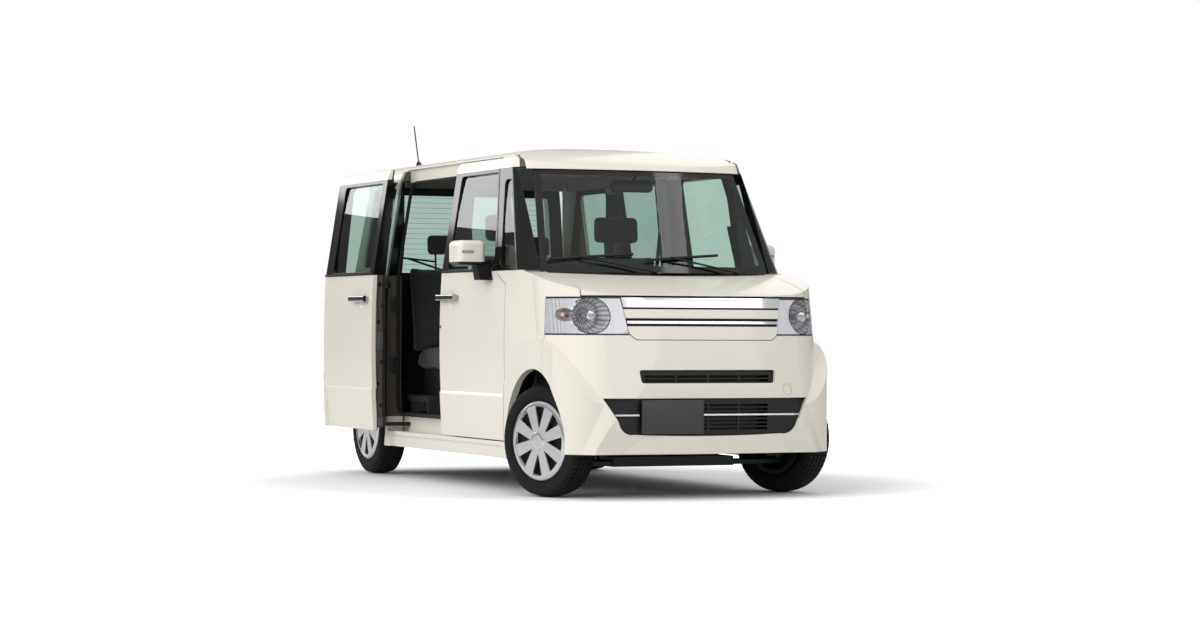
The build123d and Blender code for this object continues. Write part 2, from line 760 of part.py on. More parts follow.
# Floor, bulkhead, rails and strut towers.
floor = block(-592, 592, 215, 1900, 300, floor_z) + block(-636, 636, 190, 215, 300, 1070)
floor = floor + block(-592, 592, 1880, 1900, 300, boot_z) + block(-592, 592, 1900, 2810, boot_z - 30, boot_z)
front_rail = block(-360, -300, -400, 215, 400, 500)
strut_tower = block(-330, -300, -90, 90, 480, 816) + block(-610, -300, -90, 90, 796, 816)
for rail in pair(front_rail + strut_tower):
    floor = floor + rail
for hole in pair(arch(0, arch_radius, wheel_house_x)):
    floor = floor - hole
for hole in pair(arch(rear_axle, rear_arch_radius + 15, rear_house_x - 15)):
    floor = floor - hole
tub_room = block(-636, 636, 200, 900, 300, 1000)
for post_room in pair(block(-700, -592, 390, 900, 100, 1200)):
    tub_room = tub_room - post_room
for tub in pair(arch(0, arch_radius + 14, wheel_house_x - 14) - arch(0, arch_radius, wheel_house_x)):
    floor = floor + (tub & tub_room)

engine = fillet(block(-290, 290, -330, 100, 230, 780).edges(), 20)
engine_bearer = block(-300, 300, -120, -60, 420, 480)
engine = engine + engine_bearer
tank = fillet(block(-90, 420, 700, 1260, 200, 300).edges().filter_by(Axis.Z), 40)
exhaust = rod((-150, at(100), 240), (-150, at(2560), 240), 22)
exhaust = exhaust + fillet(block(-420, -60, 2540, 2740, 200, 300).edges().filter_by(Axis.X), 40)
exhaust = exhaust + rod((-360, at(2730), 240), (-360, at(2805), 240), 24)

# Front corner, built on the left with the wheel straight, then turned about the kingpin.
wheel_z = tyre_radius + front_rise
hub_x = track / 2


def tyre_shape():
    h = tyre_width / 2
    r = tyre_radius
    face = ring(
        front, (-53, bead_radius), ((53, bead_radius),), ((54, bead_radius + 12),),
        ((h - 6, bead_radius + 28), (h, bead_radius + 50)), ((h - 2, r - 26), (h - 14, r - 9)),
        ((0, r), (14 - h, r - 9)), ((2 - h, r - 26), (-h, bead_radius + 50)),
        ((6 - h, bead_radius + 28), (-54, bead_radius + 12)))
    return Solid.revolve(face, 360, Axis.X)


def wheel_shape():
    b = bead_radius
    bore = spindle_radius + pin_clearance
    rim = polygon(
        front, (-66, b - 14), (-66, b + 8), (-60, b + 8), (-57, b), (57, b), (60, b + 8), (66, b + 8),
        (66, b - 10), (48, b - 14), (44, bore), (34, bore), (34, b - 14))
    trim = ring(
        front, (62, b - 6), ((62, b + 6),), ((67, b + 13),), ((70, cover_radius),),
        ((78, b + 6), (80, b - 6)), ((72, b - 10),))
    cap = ring(
        front, (40, bore + 2), ((40, 54),), ((76, 50),), ((83, 42), (86, 30)), ((86, 0),), ((64, 0),),
        ((64, bore + 2),))
    solid = Solid.revolve(rim, 360, Axis.X) + Solid.revolve(trim, 360, Axis.X)
    solid = solid + Solid.revolve(cap, 360, Axis.X)
    spoke_face = polygon(disc, (-22, 44), (22, 44), (33, b - 3), (-33, b - 3))
    for i in range(spoke_count):
        solid = solid + across(spoke_face, 66, 77).rotate(Axis.X, (i + 0.5) * 360 / spoke_count)
    return solid


def at_wheel(shape, y, z):
    return shape.moved(Location((hub_x, at(y), z)))


ball = Vector(ball_x, at(0), wheel_z - ball_drop)
strut_top = Vector(strut_top_x, at(0), wheel_z + strut_top_rise)
kingpin = strut_top - ball


def knuckle_shape():
    c = Vector(hub_x, at(0), wheel_z)
    body = rod(c - Vector(92, 0, 0), c + Vector(60, 0, 0), 28)
    body = body + rod(c - Vector(92, 0, 0), c - Vector(52, 0, 0), 62)
    body = body + block(hub_x - 112, hub_x - 84, -34, 34, wheel_z - 60, 640)
    body = body + rod(ball + kingpin * 0.03, ball + kingpin * 0.11, 22)
    body = body + block(hub_x - 100, ball_x + 14, -26, 26, wheel_z - 92, wheel_z - 40)
    top = ball + kingpin * 0.74
    body = body + rod(top, top + kingpin * 0.06, 34)
    body = body + block(top.X - 10, hub_x - 84, -30, 30, top.Z, top.Z + 30)
    body = body - rod(ball, ball + kingpin * 0.1, 9 + pin_clearance)
    return body - rod(ball + kingpin * 0.755, ball + kingpin * 0.85, 12 + pin_clearance)


def turned(shape, hand):
    if hand < 0:
        shape = flip(shape)
    axis = Axis((hand * ball.X, ball.Y, ball.Z), (hand * kingpin.X, 0, kingpin.Z))
    return shape.rotate(axis, steer_rest)


tyre = tyre_shape()
wheel = wheel_shape()
knuckle = knuckle_shape()

arm_z = wheel_z - ball_drop
arm = upward(polygon(
    plan, (318, -60), (318, 180), (ball_x - 30, 24), (ball_x, 20), (ball_x, -20), (ball_x - 30, -24)),
    arm_z - 20, arm_z + 2)
arm = arm + rod(ball - Vector(0, 0, 20), ball + Vector(0, 0, 8), 17) + rod(ball, ball + kingpin * 0.095, 9)
strut = rod(ball + kingpin * 0.81, ball + kingpin * 1.08, 42)
strut = strut + rod(ball + kingpin * 0.76, ball + kingpin * 0.9, 12)
strut = strut - block(0, 800, -200, 200, 796, 900)
suspension = block(-330, 330, -70, 190, arm_z - 24, arm_z + 24)
suspension = suspension + arm + flip(arm)
for bracket in pair(block(302, 340, 120, 188, arm_z, 400)):
    suspension = suspension + bracket


def axle_rod(x0, x1, radius):
    return rod((x0, at(rear_axle), tyre_radius), (x1, at(rear_axle), tyre_radius), radius)


# Rear axle: a beam, two trailing arms on the floor, springs and spindles.
beam_y = at(rear_axle - 260)
spring_y = at(rear_axle + 30)
rear_beam = rod((-500, beam_y, 318), (500, beam_y, 318), 40)
trailing_arm = block(450, 505, 1960, rear_axle + 70, 240, 340) + block(450, 505, 1960, 2030, 240, boot_z - 30)
spring = rod((478, spring_y, 330), (478, spring_y, boot_z - 30), 26)
spindle = axle_rod(470, hub_x + 60, spindle_radius) + axle_rod(500, hub_x - 50, 62)
for half_axle in pair(trailing_arm + spring + spindle):
    rear_beam = rear_beam + half_axle

# Arms that carry the open door.
low_arm = block(-cabin_half - slide_out, -632, 2052, 2100, 285, 305)
rail_arm = block(-cabin_half - slide_out, -rail_half_depth, 2650, 2710, rail_low_z + 4, rail_high_z - 4)
closed_arm = block(632, cabin_half, 1400, 1440, 290, 310)

# The fuel lid shows as a groove in the left rear quarter.
lid_edge = block(600, 800, 2232, 2392, 800, 956) - block(500, 900, 2235, 2389, 803, 953)
side_left = flip(side_right) - (lid_edge - section(4, 4, 100))

# Files.
slid = Location((-slide_out, slide_back, 0))
save(floor, "floor_pan")
save(side_right, "side_frame_right")
save(side_left, "side_frame_left")
save(roof, "roof_panel")
save(group(fender, flip(fender)), "front_fenders")
save(bumper, "front_bumper")
save(rear_bumper, "rear_bumper")
save(cowl, "cowl_panel")
save(group(*painted_bars), "front_grille")
save(group(*bright_bars, *strips), "grille_trim")
save(group(*inserts), "bumper_grille")
save(radiator, "radiator")
save(group(housing, flip(housing)), "headlamp_housings")
save(group(lens, flip(lens)), "headlamp_lenses")
save(group(tail_lamp, flip(tail_lamp)), "tail_lamps")
save(windscreen, "windscreen")
save(group(quarter_pane, flip(quarter_pane), pillar_pane, flip(pillar_pane)), "fixed_side_glass")
save(group(*wiper_arms), "windscreen_wipers")
save(antenna, "antenna")
save(slide_door.moved(slid), "sliding_door_right")
save(flip(slide_door), "sliding_door_left")
save(group(slide_pane.moved(slid), flip(slide_pane)), "sliding_door_glass")
save(group(slide_handle.moved(slid), flip(slide_handle)), "sliding_door_handles")
save(group(low_arm, rail_arm, closed_arm), "sliding_door_arms")
save(dash, "dashboard")
save(group(*front_seats), "front_seats")
save(group(*rear_seats), "rear_seats")
save(engine, "engine")
save(tank, "fuel_tank")
save(exhaust, "exhaust")
save(group(suspension, strut, flip(strut)), "front_suspension")
save(rear_beam, "rear_axle")
save(bonnet, "bonnet")
save(tailgate, "tailgate")
save(rear_pane, "tailgate_glass")
save(steering_wheel, "steering_wheel")
for name, hand in (("right", -1), ("left", 1)):
    save(front_door if hand < 0 else flip(front_door), f"front_door_{name}")
    save(front_pane if hand < 0 else flip(front_pane), f"front_door_glass_{name}")
    save(door_mirror if hand < 0 else flip(door_mirror), f"door_mirror_{name}")
    save(front_handle if hand < 0 else flip(front_handle), f"front_door_handle_{name}")
    save(turned(knuckle, hand), f"knuckle_{name}")
    save(turned(at_wheel(tyre, 0, wheel_z), hand), f"front_tyre_{name}")
    save(turned(at_wheel(wheel, 0, wheel_z), hand), f"front_wheel_{name}")
    rear_tyre = at_wheel(tyre, rear_axle, tyre_radius)
    rear_wheel = at_wheel(wheel, rear_axle, tyre_radius)
    save(flip(rear_tyre) if hand < 0 else rear_tyre, f"rear_tyre_{name}")
    save(flip(rear_wheel) if hand < 0 else rear_wheel, f"rear_wheel_{name}")
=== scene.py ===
import json
import math
import bmesh
import bpy
from mathutils import Matrix, Vector
from mathutils.bvhtree import BVHTree


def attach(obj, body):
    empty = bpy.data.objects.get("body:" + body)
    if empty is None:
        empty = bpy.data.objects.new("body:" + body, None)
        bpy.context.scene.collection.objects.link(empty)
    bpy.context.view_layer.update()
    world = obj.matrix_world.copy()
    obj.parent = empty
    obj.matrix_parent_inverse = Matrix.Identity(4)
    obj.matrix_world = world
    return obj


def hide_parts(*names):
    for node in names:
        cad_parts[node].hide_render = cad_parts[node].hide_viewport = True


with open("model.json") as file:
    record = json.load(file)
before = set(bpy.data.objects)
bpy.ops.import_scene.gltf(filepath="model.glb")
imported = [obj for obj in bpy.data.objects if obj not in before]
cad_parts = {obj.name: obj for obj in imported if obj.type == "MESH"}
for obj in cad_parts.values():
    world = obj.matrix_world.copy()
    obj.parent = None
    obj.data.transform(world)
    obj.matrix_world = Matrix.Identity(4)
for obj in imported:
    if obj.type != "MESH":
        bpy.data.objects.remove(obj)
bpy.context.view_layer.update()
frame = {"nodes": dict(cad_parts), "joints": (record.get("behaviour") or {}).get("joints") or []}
nodes = frame["nodes"]
frontAxleY = -1.2075
print("frame loaded:", len(nodes), "nodes")


def aft(distance):  # metres behind the front axle, in the part's frame
    return frontAxleY + distance


# Camera and studio

cameraSet = {
    "place": (-6.2631, -14.769, 0.8318),
    "yaw": -0.40956,
    "pitch": 0.004447,
    "roll": 0.004209,
    "lens": 89.204,
}
studioSet = {
    "floorColor": (0.88, 0.88, 0.88, 1),
    "floorBounce": (0.55, 0.55, 0.55, 1),
    "floorSize": 60.0,
    "floorFade": (1.3, 3.2, 0.0, 1.0),  # from and to as a distance from the middle, then the floor's glow
    "skyStrength": 0.60,
    "reflectedSky": (0.0, 0.6, 0.10, 0.60),  # from and to as the height of a direction, then the strengths
    "frontBoost": 0.35,  # added to reflections of what lies ahead of the car
    "lights": (  # name, place, aim, width, height, watts
        ("keyLight", (-7.0, -3.2, 3.6), (-0.4, 0, 0.8), 8.0, 4.4, 320),
        ("topLight", (-0.9, -0.2, 6.5), (-0.9, -0.2, 0), 5.4, 5.0, 68),
        ("screenCard", (3.3, -3.8, 6.5), (3.3, -3.8, 0), 0.8, 3.4, 27),
        ("frontLight", (3.2, -8.5, 3.5), (0, -1.2, 0.7), 6.4, 4.2, 76),
        ("backLight", (5.5, 5.0, 4.0), (0, 0.4, 0.8), 5.5, 4.0, 66),
        ("sideCard", (-4.1, 9.4, 4.45), (-0.8, 0.3, 1.3), 4.6, 3.4, 170),
    ),
    "softLights": ("keyLight",),  # give light, but no reflection
}


def lookMatrix(place, yaw, pitch, roll):
    forward = Vector((-math.sin(yaw) * math.cos(pitch), math.cos(yaw) * math.cos(pitch), math.sin(pitch)))
    right = Vector((math.cos(yaw), math.sin(yaw), 0))
    up = right.cross(forward)
    turnedRight = right * math.cos(roll) + up * math.sin(roll)
    turnedUp = up * math.cos(roll) - right * math.sin(roll)
    turn = Matrix((turnedRight, turnedUp, -forward)).transposed()
    return Matrix.Translation(place) @ turn.to_4x4()


def placed(name, data):  # a new object in the scene
    item = bpy.data.objects.new(name, data)
    bpy.context.scene.collection.objects.link(item)
    return item


def makeCamera():
    data = bpy.data.cameras.new("photoCamera")
    data.sensor_width = 36
    data.sensor_fit = "HORIZONTAL"
    data.lens = cameraSet["lens"]
    data.clip_end = 200
    camera = placed("photoCamera", data)
    camera.matrix_world = lookMatrix(*(cameraSet[key] for key in ("place", "yaw", "pitch", "roll")))
    bpy.context.scene.camera = camera


def skyStrength(tree):  # white where it is seen, darker near the horizon in reflections, plain as light
    path = tree.nodes.new("ShaderNodeLightPath").outputs
    parts = splitCoords(tree, "Generated")[1]
    ahead = calc(tree, "MAXIMUM", calc(tree, "MULTIPLY", parts["Y"], -1.0), 0.0)
    ahead = calc(tree, "MULTIPLY", ahead, studioSet["frontBoost"])
    high = softStep(tree, parts["Z"], studioSet["reflectedSky"])
    reflected = calc(tree, "MINIMUM", calc(tree, "ADD", high, ahead), 1.0)
    clear = calc(tree, "MAXIMUM", path["Is Camera Ray"], path["Is Transmission Ray"])
    sky = studioSet["skyStrength"]
    glossy = calc(tree, "MULTIPLY", path["Is Glossy Ray"], calc(tree, "SUBTRACT", reflected, sky))
    return calc(tree, "MAXIMUM", clear, calc(tree, "ADD", glossy, sky))


def makeWorld():
    world = bpy.data.worlds.new("studioWorld")
    bpy.context.scene.world = world
    world.use_nodes = True
    background = world.node_tree.nodes["Background"]
    background.inputs["Color"].default_value = (1, 1, 1, 1)
    world.node_tree.links.new(skyStrength(world.node_tree), background.inputs["Strength"])


def makeFloor():
    half = studioSet["floorSize"] / 2
    mesh = bpy.data.meshes.new("studioFloor")
    corners = [(-half, -half, 0), (half, -half, 0), (half, half, 0), (-half, half, 0)]
    mesh.from_pydata(corners, [], [(0, 1, 2, 3)])
    floor = Finish("studioFloor", (1, 1, 1), 0.9, Specular_IOR_Level=0.0, Emission_Color=(1, 1, 1, 1))
    distance = floor.tree.nodes.new("ShaderNodeVectorMath")
    distance.operation = "LENGTH"
    floor.tree.links.new(floor.coords, distance.inputs[0])
    far = softStep(floor.tree, distance.outputs["Value"], studioSet["floorFade"])
    path = floor.tree.nodes.new("ShaderNodeLightPath").outputs
    seen = floor.calc("MAXIMUM", path["Is Camera Ray"], path["Is Glossy Ray"])
    floor.set("Base Color", mixColor(floor.tree, seen, studioSet["floorBounce"], studioSet["floorColor"]))
    floor.set("Emission Strength", floor.calc("MULTIPLY", path["Is Camera Ray"], far))
    mesh.materials.append(floor.material)
    placed("studioFloor", mesh)


def makeLights():
    for name, place, aim, wide, high, watts in studioSet["lights"]:
        data = bpy.data.lights.new(name, "AREA")
        data.shape = "RECTANGLE"
        data.size = wide
        data.size_y = high
        data.energy = watts
        lamp = placed(name, data)
        lamp.location = place
        lamp.visible_glossy = name not in studioSet["softLights"]
        lamp.rotation_euler = (Vector(aim) - Vector(place)).to_track_quat("-Z", "Y").to_euler()


# Shader helpers

def feed(tree, socket, value):  # links a socket, sets anything else as the value
    if hasattr(value, "is_linked"):
        tree.links.new(value, socket)
    else:
        socket.default_value = value


def newNode(tree, kind, **values):
    node = tree.nodes.new("ShaderNode" + kind)
    for label, value in values.items():
        feed(tree, node.inputs[label.replace("_", " ")], value)
    return node


def calc(tree, operation, *values):  # one Math node; a value is a socket or a number
    node = tree.nodes.new("ShaderNodeMath")
    node.operation = operation
    for socket, value in zip(node.inputs, values):
        feed(tree, socket, value)
    return node.outputs[0]


def between(tree, value, low, high):  # 1 between low and high
    above = calc(tree, "GREATER_THAN", value, low)
    below = calc(tree, "LESS_THAN", value, high)
    return calc(tree, "MULTIPLY", above, below)


def softStep(tree, value, limits):  # limits: from and to, then the values there
    node = newNode(tree, "MapRange", Value=value)
    node.interpolation_type = "SMOOTHSTEP"
    for label, limit in zip(("From Min", "From Max", "To Min", "To Max"), limits):
        node.inputs[label].default_value = limit
    return node.outputs["Result"]


def mixColor(tree, factor, first, second):
    node = tree.nodes.new("ShaderNodeMix")
    node.data_type = "RGBA"
    for name, value in (("Factor_Float", factor), ("A_Color", first), ("B_Color", second)):
        feed(tree, next(s for s in node.inputs if s.identifier == name), value)
    return next(s for s in node.outputs if s.identifier == "Result_Color")


def mixShader(tree, factor, first, second):
    node = newNode(tree, "MixShader", Fac=factor)
    tree.links.new(first.outputs[0], node.inputs[1])
    tree.links.new(second.outputs[0], node.inputs[2])
    return node


def noise(tree, coords, scale, detail=2.0, rough=0.5):
    node = newNode(tree, "TexNoise", Scale=scale, Detail=detail, Roughness=rough, Vector=coords)
    return node.outputs["Fac"]


def splitCoords(tree, kind):  # coordinates of that kind, whole and as their three parts
    coords = tree.nodes.new("ShaderNodeTexCoord").outputs[kind]
    return coords, newNode(tree, "SeparateXYZ", Vector=coords).outputs


def newGroup(name, inputs, outputs):
    group = bpy.data.node_groups.new(name, "ShaderNodeTree")
    for label, kind, value in inputs:
        socket = group.interface.new_socket(label, in_out="INPUT", socket_type=kind)
        socket.default_value = value
    for label, kind in outputs:
        group.interface.new_socket(label, in_out="OUTPUT", socket_type=kind)
    return group, group.nodes.new("NodeGroupInput"), group.nodes.new("NodeGroupOutput")


def makeGrainGroup():  # small moulded or cast grain: a height and a slight change of tone
    group, source, sink = newGroup(
        "surfaceGrain",
        (("Scale", "NodeSocketFloat", 900.0), ("Tone", "NodeSocketFloat", 0.1)),
        (("Height", "NodeSocketFloat"), ("Shade", "NodeSocketFloat")))
    coords = group.nodes.new("ShaderNodeTexCoord").outputs["Object"]
    fine = newNode(group, "TexNoise", Vector=coords, Scale=source.outputs["Scale"])
    group.links.new(fine.outputs["Fac"], sink.inputs["Height"])
    broad = noise(group, coords, 3.5, 3.0)
    away = calc(group, "SUBTRACT", broad, 0.5)
    change = calc(group, "MULTIPLY", away, source.outputs["Tone"])
    group.links.new(calc(group, "ADD", change, 1.0), sink.inputs["Shade"])
    return group


def makeDustGroup():  # road dust that thins out with height
    group, source, sink = newGroup(
        "roadDust",
        (("Amount", "NodeSocketFloat", 0.2), ("Top", "NodeSocketFloat", 0.45)),
        (("Mask", "NodeSocketFloat"),))
    coords, parts = splitCoords(group, "Object")
    low = calc(group, "SUBTRACT", 1.0, calc(group, "DIVIDE", parts["Z"], source.outputs["Top"]))
    low = calc(group, "MAXIMUM", low, 0.0)
    patchy = noise(group, coords, 14.0, 4.0, 0.6)
    mask = calc(group, "MULTIPLY", calc(group, "MULTIPLY", low, patchy), source.outputs["Amount"])
    group.links.new(mask, sink.inputs["Mask"])
    return group


grainGroup = makeGrainGroup()
dustGroup = makeDustGroup()


def useGroup(tree, group, **values):
    node = tree.nodes.new("ShaderNodeGroup")
    node.node_tree = group
    for label, value in values.items():
        node.inputs[label].default_value = value
    return node


class Finish:  # a material and its shader, with the coordinates that the masks read
    def __init__(self, name, color, rough, metal=0.0, **sockets):
        self.material = bpy.data.materials.new(name)
        self.material.use_nodes = True
        self.tree = self.material.node_tree
        self.shader = self.tree.nodes["Principled BSDF"]
        self.color = (*color, 1)
        self.set("Base Color", self.color)
        self.set("Roughness", rough)
        self.set("Metallic", metal)
        for label, value in sockets.items():
            self.set(label.replace("_", " "), value)
        self.coords, (self.x, self.y, self.z) = splitCoords(self.tree, "Object")

    def set(self, label, value):
        feed(self.tree, self.shader.inputs[label], value)

    def calc(self, operation, *values):
        return calc(self.tree, operation, *values)

    def bump(self, height, strength, distance, edge=0.0):
        node = newNode(self.tree, "Bump", Strength=strength, Distance=distance, Height=height)
        if edge:
            self.tree.links.new(self.softEdge(edge), node.inputs["Normal"])
        self.set("Normal", node.outputs["Normal"])

    def normal(self, axis):  # one part of the surface's own normal, before any bump
        return splitCoords(self.tree, "Normal")[1][axis]

    def softEdge(self, radius):  # rounds the look of a panel's edge
        node = newNode(self.tree, "Bevel", Radius=radius)
        node.samples = 4
        return node.outputs["Normal"]

    def grain(self, scale, strength, tone=0.12, distance=0.0004, edge=0.0):
        group = useGroup(self.tree, grainGroup, Scale=scale, Tone=tone)
        self.bump(group.outputs["Height"], strength, distance, edge)
        return group.outputs["Shade"]

    def shaded(self, color, shade):  # the colour times a shade that changes over the surface
        node = newNode(self.tree, "VectorMath")
        node.operation = "SCALE"
        feed(self.tree, node.inputs[0], color[:3] if isinstance(color, tuple) else color)
        self.tree.links.new(shade, node.inputs["Scale"])
        return node.outputs["Vector"]


# Finishes

colors = {
    "cream": (0.84, 0.80, 0.71),
    "pillarBlack": (0.006, 0.006, 0.007),
    "jamb": (0.105, 0.092, 0.072),
    "lining": (0.36, 0.35, 0.32),
    "carpet": (0.03, 0.03, 0.031),
    "underside": (0.20, 0.19, 0.17),
    "trimDark": (0.022, 0.022, 0.024),
    "dust": (0.42, 0.37, 0.30),
}
bodyLines = {  # metres; along the car as distances behind the front axle
    "belt": 1.121, "windowTop": 1.652, "sillTop": 0.335, "railTop": 1.705,
    "quarterEnd": 2.66, "pillarEnd": 2.172,
    "side": 0.732, "lean": 0.157, "leanFrom": 1.125,
    "jamb": 0.706, "trim": 0.640, "doorJamb": 0.703, "doorTrim": 0.668, "slideOut": 0.135,
    "doorway": (1.335, 2.1595), "besideDoorway": (1.335, 2.205),
    "mirrorLow": 1.168, "mirrorFoot": 0.757,
}
paintSet = {
    "rough": 0.3, "lacquer": 0.3, "dustRough": 0.5, "edge": 0.004,
    "flakes": (5200.0, 0.05), "cloud": (1.3, 0.03), "tone": 0.96,  # scale and depth, then the darkest tone
}


def makePaint(name, *coats):  # coats: mask, colour and roughness of what is not in the body's colour
    s = paintSet
    paint = Finish(name, colors["cream"], s["rough"], Specular_IOR_Level=0.3, Coat_Weight=s["lacquer"],
                   Coat_Roughness=0.05)
    tree = paint.tree
    flakes = noise(tree, paint.coords, s["flakes"][0], 1.0)
    cloud = noise(tree, paint.coords, s["cloud"][0], 2.0)
    shade = paint.calc("ADD", paint.calc("MULTIPLY", flakes, s["flakes"][1]),
                       paint.calc("MULTIPLY", cloud, s["cloud"][1]))
    color = paint.shaded(paint.color, paint.calc("ADD", shade, s["tone"]))
    dust = useGroup(tree, dustGroup, Amount=0.03, Top=0.4).outputs["Mask"]
    color = mixColor(tree, dust, color, (*colors["dust"], 1))
    rough = paint.calc("MULTIPLY_ADD", dust, s["dustRough"], s["rough"])
    lacquer = s["lacquer"]
    for maskOf, key, dull in coats:
        mask = maskOf(paint)
        color = mixColor(tree, mask, color, (*colors[key], 1))
        rough = paint.calc("MULTIPLY_ADD", mask, paint.calc("SUBTRACT", dull, rough), rough)
        lacquer = paint.calc("MULTIPLY", lacquer, paint.calc("SUBTRACT", 1.0, mask))
    paint.set("Base Color", color)
    paint.set("Roughness", rough)
    paint.set("Coat Weight", lacquer)
    paint.set("Normal", paint.softEdge(s["edge"]))
    return paint.material


def outwards(paint):  # half width, measured as if the sides stood upright
    half = paint.calc("ABSOLUTE", paint.x)
    rise = paint.calc("MAXIMUM", paint.calc("SUBTRACT", paint.z, bodyLines["belt"]), 0.0)
    return paint.calc("MULTIPLY_ADD", rise, bodyLines["lean"], half)


def alongCar(paint, ends):
    return between(paint.tree, paint.y, aft(ends[0]), aft(ends[1]))


def inward(paint):  # faces that look towards the middle of the car
    across = paint.calc("MULTIPLY", paint.normal("X"), paint.calc("SIGN", paint.x))
    return paint.calc("LESS_THAN", across, -0.3)


def aheadOf(paint, end):
    return paint.calc("LESS_THAN", paint.y, aft(bodyLines[end]))


def frameEdge(paint):  # the jambs: within the doorway, and the body beside it where the right door stands open
    within = paint.calc("LESS_THAN", outwards(paint), bodyLines["jamb"])
    within = paint.calc("MULTIPLY", within, aheadOf(paint, "quarterEnd"))
    doorway = alongCar(paint, bodyLines["doorway"])
    beside = alongCar(paint, bodyLines["besideDoorway"])
    beside = paint.calc("MULTIPLY", beside, paint.calc("LESS_THAN", paint.x, 0.0))
    high = between(paint.tree, paint.z, bodyLines["sillTop"], bodyLines["railTop"])
    return paint.calc("MULTIPLY", high, paint.calc("MAXIMUM", within, paint.calc("MAXIMUM", doorway, beside)))


def frameInside(paint):
    high = paint.calc("GREATER_THAN", paint.z, bodyLines["sillTop"])
    deep = paint.calc("LESS_THAN", outwards(paint), bodyLines["trim"])
    deep = paint.calc("MULTIPLY", deep, aheadOf(paint, "quarterEnd"))
    return paint.calc("MULTIPLY", high, paint.calc("MAXIMUM", deep, inward(paint)))


def withinDoor(paint, offset, line):
    return paint.calc("LESS_THAN", paint.calc("ADD", outwards(paint), -offset), bodyLines[line])


def doorCoats(offset):  # the coats of a door that stands out by the offset
    return (
        (lambda paint: withinDoor(paint, offset, "doorJamb"), "jamb", 0.35),
        (lambda paint: paint.calc("MAXIMUM", withinDoor(paint, offset, "doorTrim"), inward(paint)),
         "trimDark", 0.6),
        (glassBand, "pillarBlack", 0.1))


def faceDown(paint):
    return paint.calc("LESS_THAN", paint.normal("Z"), -0.25)


def faceAhead(paint):
    return paint.calc("LESS_THAN", paint.normal("Y"), -0.25)


def mirrorFoot(paint):  # the mirror's black lower edge and foot
    low = paint.calc("LESS_THAN", paint.z, bodyLines["mirrorLow"])
    near = paint.calc("LESS_THAN", paint.calc("ABSOLUTE", paint.x), bodyLines["mirrorFoot"])
    return paint.calc("MAXIMUM", low, near)


def glassBand(paint):
    return between(paint.tree, paint.z, bodyLines["belt"], bodyLines["windowTop"])


def pillarBand(paint):  # the black pillars, up to the rear quarter
    return paint.calc("MULTIPLY", glassBand(paint), aheadOf(paint, "pillarEnd"))


glassSet = {
    "ior": 1.52, "rough": 0.015,
    "border": {"foot": 1.146, "head": 1.612, "half": 0.598, "lean": 0.136, "leanFrom": 1.112},
    "heater": {"pitch": 0.030, "share": 0.06, "cover": 0.5},
}


def makeGlass(name, tint, printed=None):  # printed: mask of what is printed on the pane
    glass = Finish(name, (0.004, 0.004, 0.005), 0.08)
    tree = glass.tree
    clear = newNode(tree, "BsdfTransparent", Color=(*tint, 1))
    gloss = newNode(tree, "BsdfGlossy", Roughness=glassSet["rough"])
    fresnel = newNode(tree, "Fresnel", IOR=glassSet["ior"])
    side = tree.nodes.new("ShaderNodeNewGeometry")
    outer = glass.calc("SUBTRACT", 1.0, side.outputs["Backfacing"])  # the way out of a pane reflects nothing
    pane = mixShader(tree, glass.calc("MULTIPLY", fresnel.outputs[0], outer), clear, gloss)
    if printed:
        pane = mixShader(tree, printed(glass), pane, glass.shader)
    tree.links.new(pane.outputs[0], tree.nodes["Material Output"].inputs["Surface"])
    return glass.material


def screenBorder(glass):  # the printed black edge of the windscreen
    s = glassSet["border"]
    half = glass.calc("ABSOLUTE", glass.x)
    rise = glass.calc("SUBTRACT", glass.z, s["leanFrom"])
    side = glass.calc("GREATER_THAN", glass.calc("MULTIPLY_ADD", rise, s["lean"], half), s["half"])
    foot = glass.calc("LESS_THAN", glass.z, s["foot"])
    head = glass.calc("GREATER_THAN", glass.z, s["head"])
    return glass.calc("MAXIMUM", side, glass.calc("MAXIMUM", foot, head))


def heaterLines(glass):
    s = glassSet["heater"]
    wave = glass.calc("FRACT", glass.calc("DIVIDE", glass.z, s["pitch"]))
    return glass.calc("MULTIPLY", glass.calc("LESS_THAN", wave, s["share"]), s["cover"])


def makeChrome(name, color, rough):
    chrome = Finish(name, color, rough, 1.0)
    smudge = noise(chrome.tree, chrome.coords, 30.0, 3.0)
    chrome.set("Roughness", chrome.calc("MULTIPLY_ADD", smudge, 0.06, rough))
    chrome.set("Normal", chrome.softEdge(0.002))
    return chrome.material


def makePlastic(name, color, rough, scale=1400.0, strength=0.35, edge=0.002):
    plastic = Finish(name, color, rough, Specular_IOR_Level=0.35)
    shade = plastic.grain(scale, strength, edge=edge)
    plastic.set("Base Color", plastic.shaded(plastic.color, shade))
    return plastic.material


def makeRubber():
    rubber = Finish("tyreRubber", (0.011, 0.011, 0.012), 0.68, Specular_IOR_Level=0.15)
    shade = rubber.grain(700.0, 0.25, 0.3)
    color = rubber.shaded(rubber.color, shade)
    dust = useGroup(rubber.tree, dustGroup, Amount=0.07, Top=0.6).outputs["Mask"]
    rubber.set("Base Color", mixColor(rubber.tree, dust, color, (0.16, 0.14, 0.12, 1)))
    return rubber.material


wheelSet = {"rough": 0.26, "metal": 0.85, "lacquer": 0.4, "spokesFrom": 0.0625, "behindRough": 0.4}


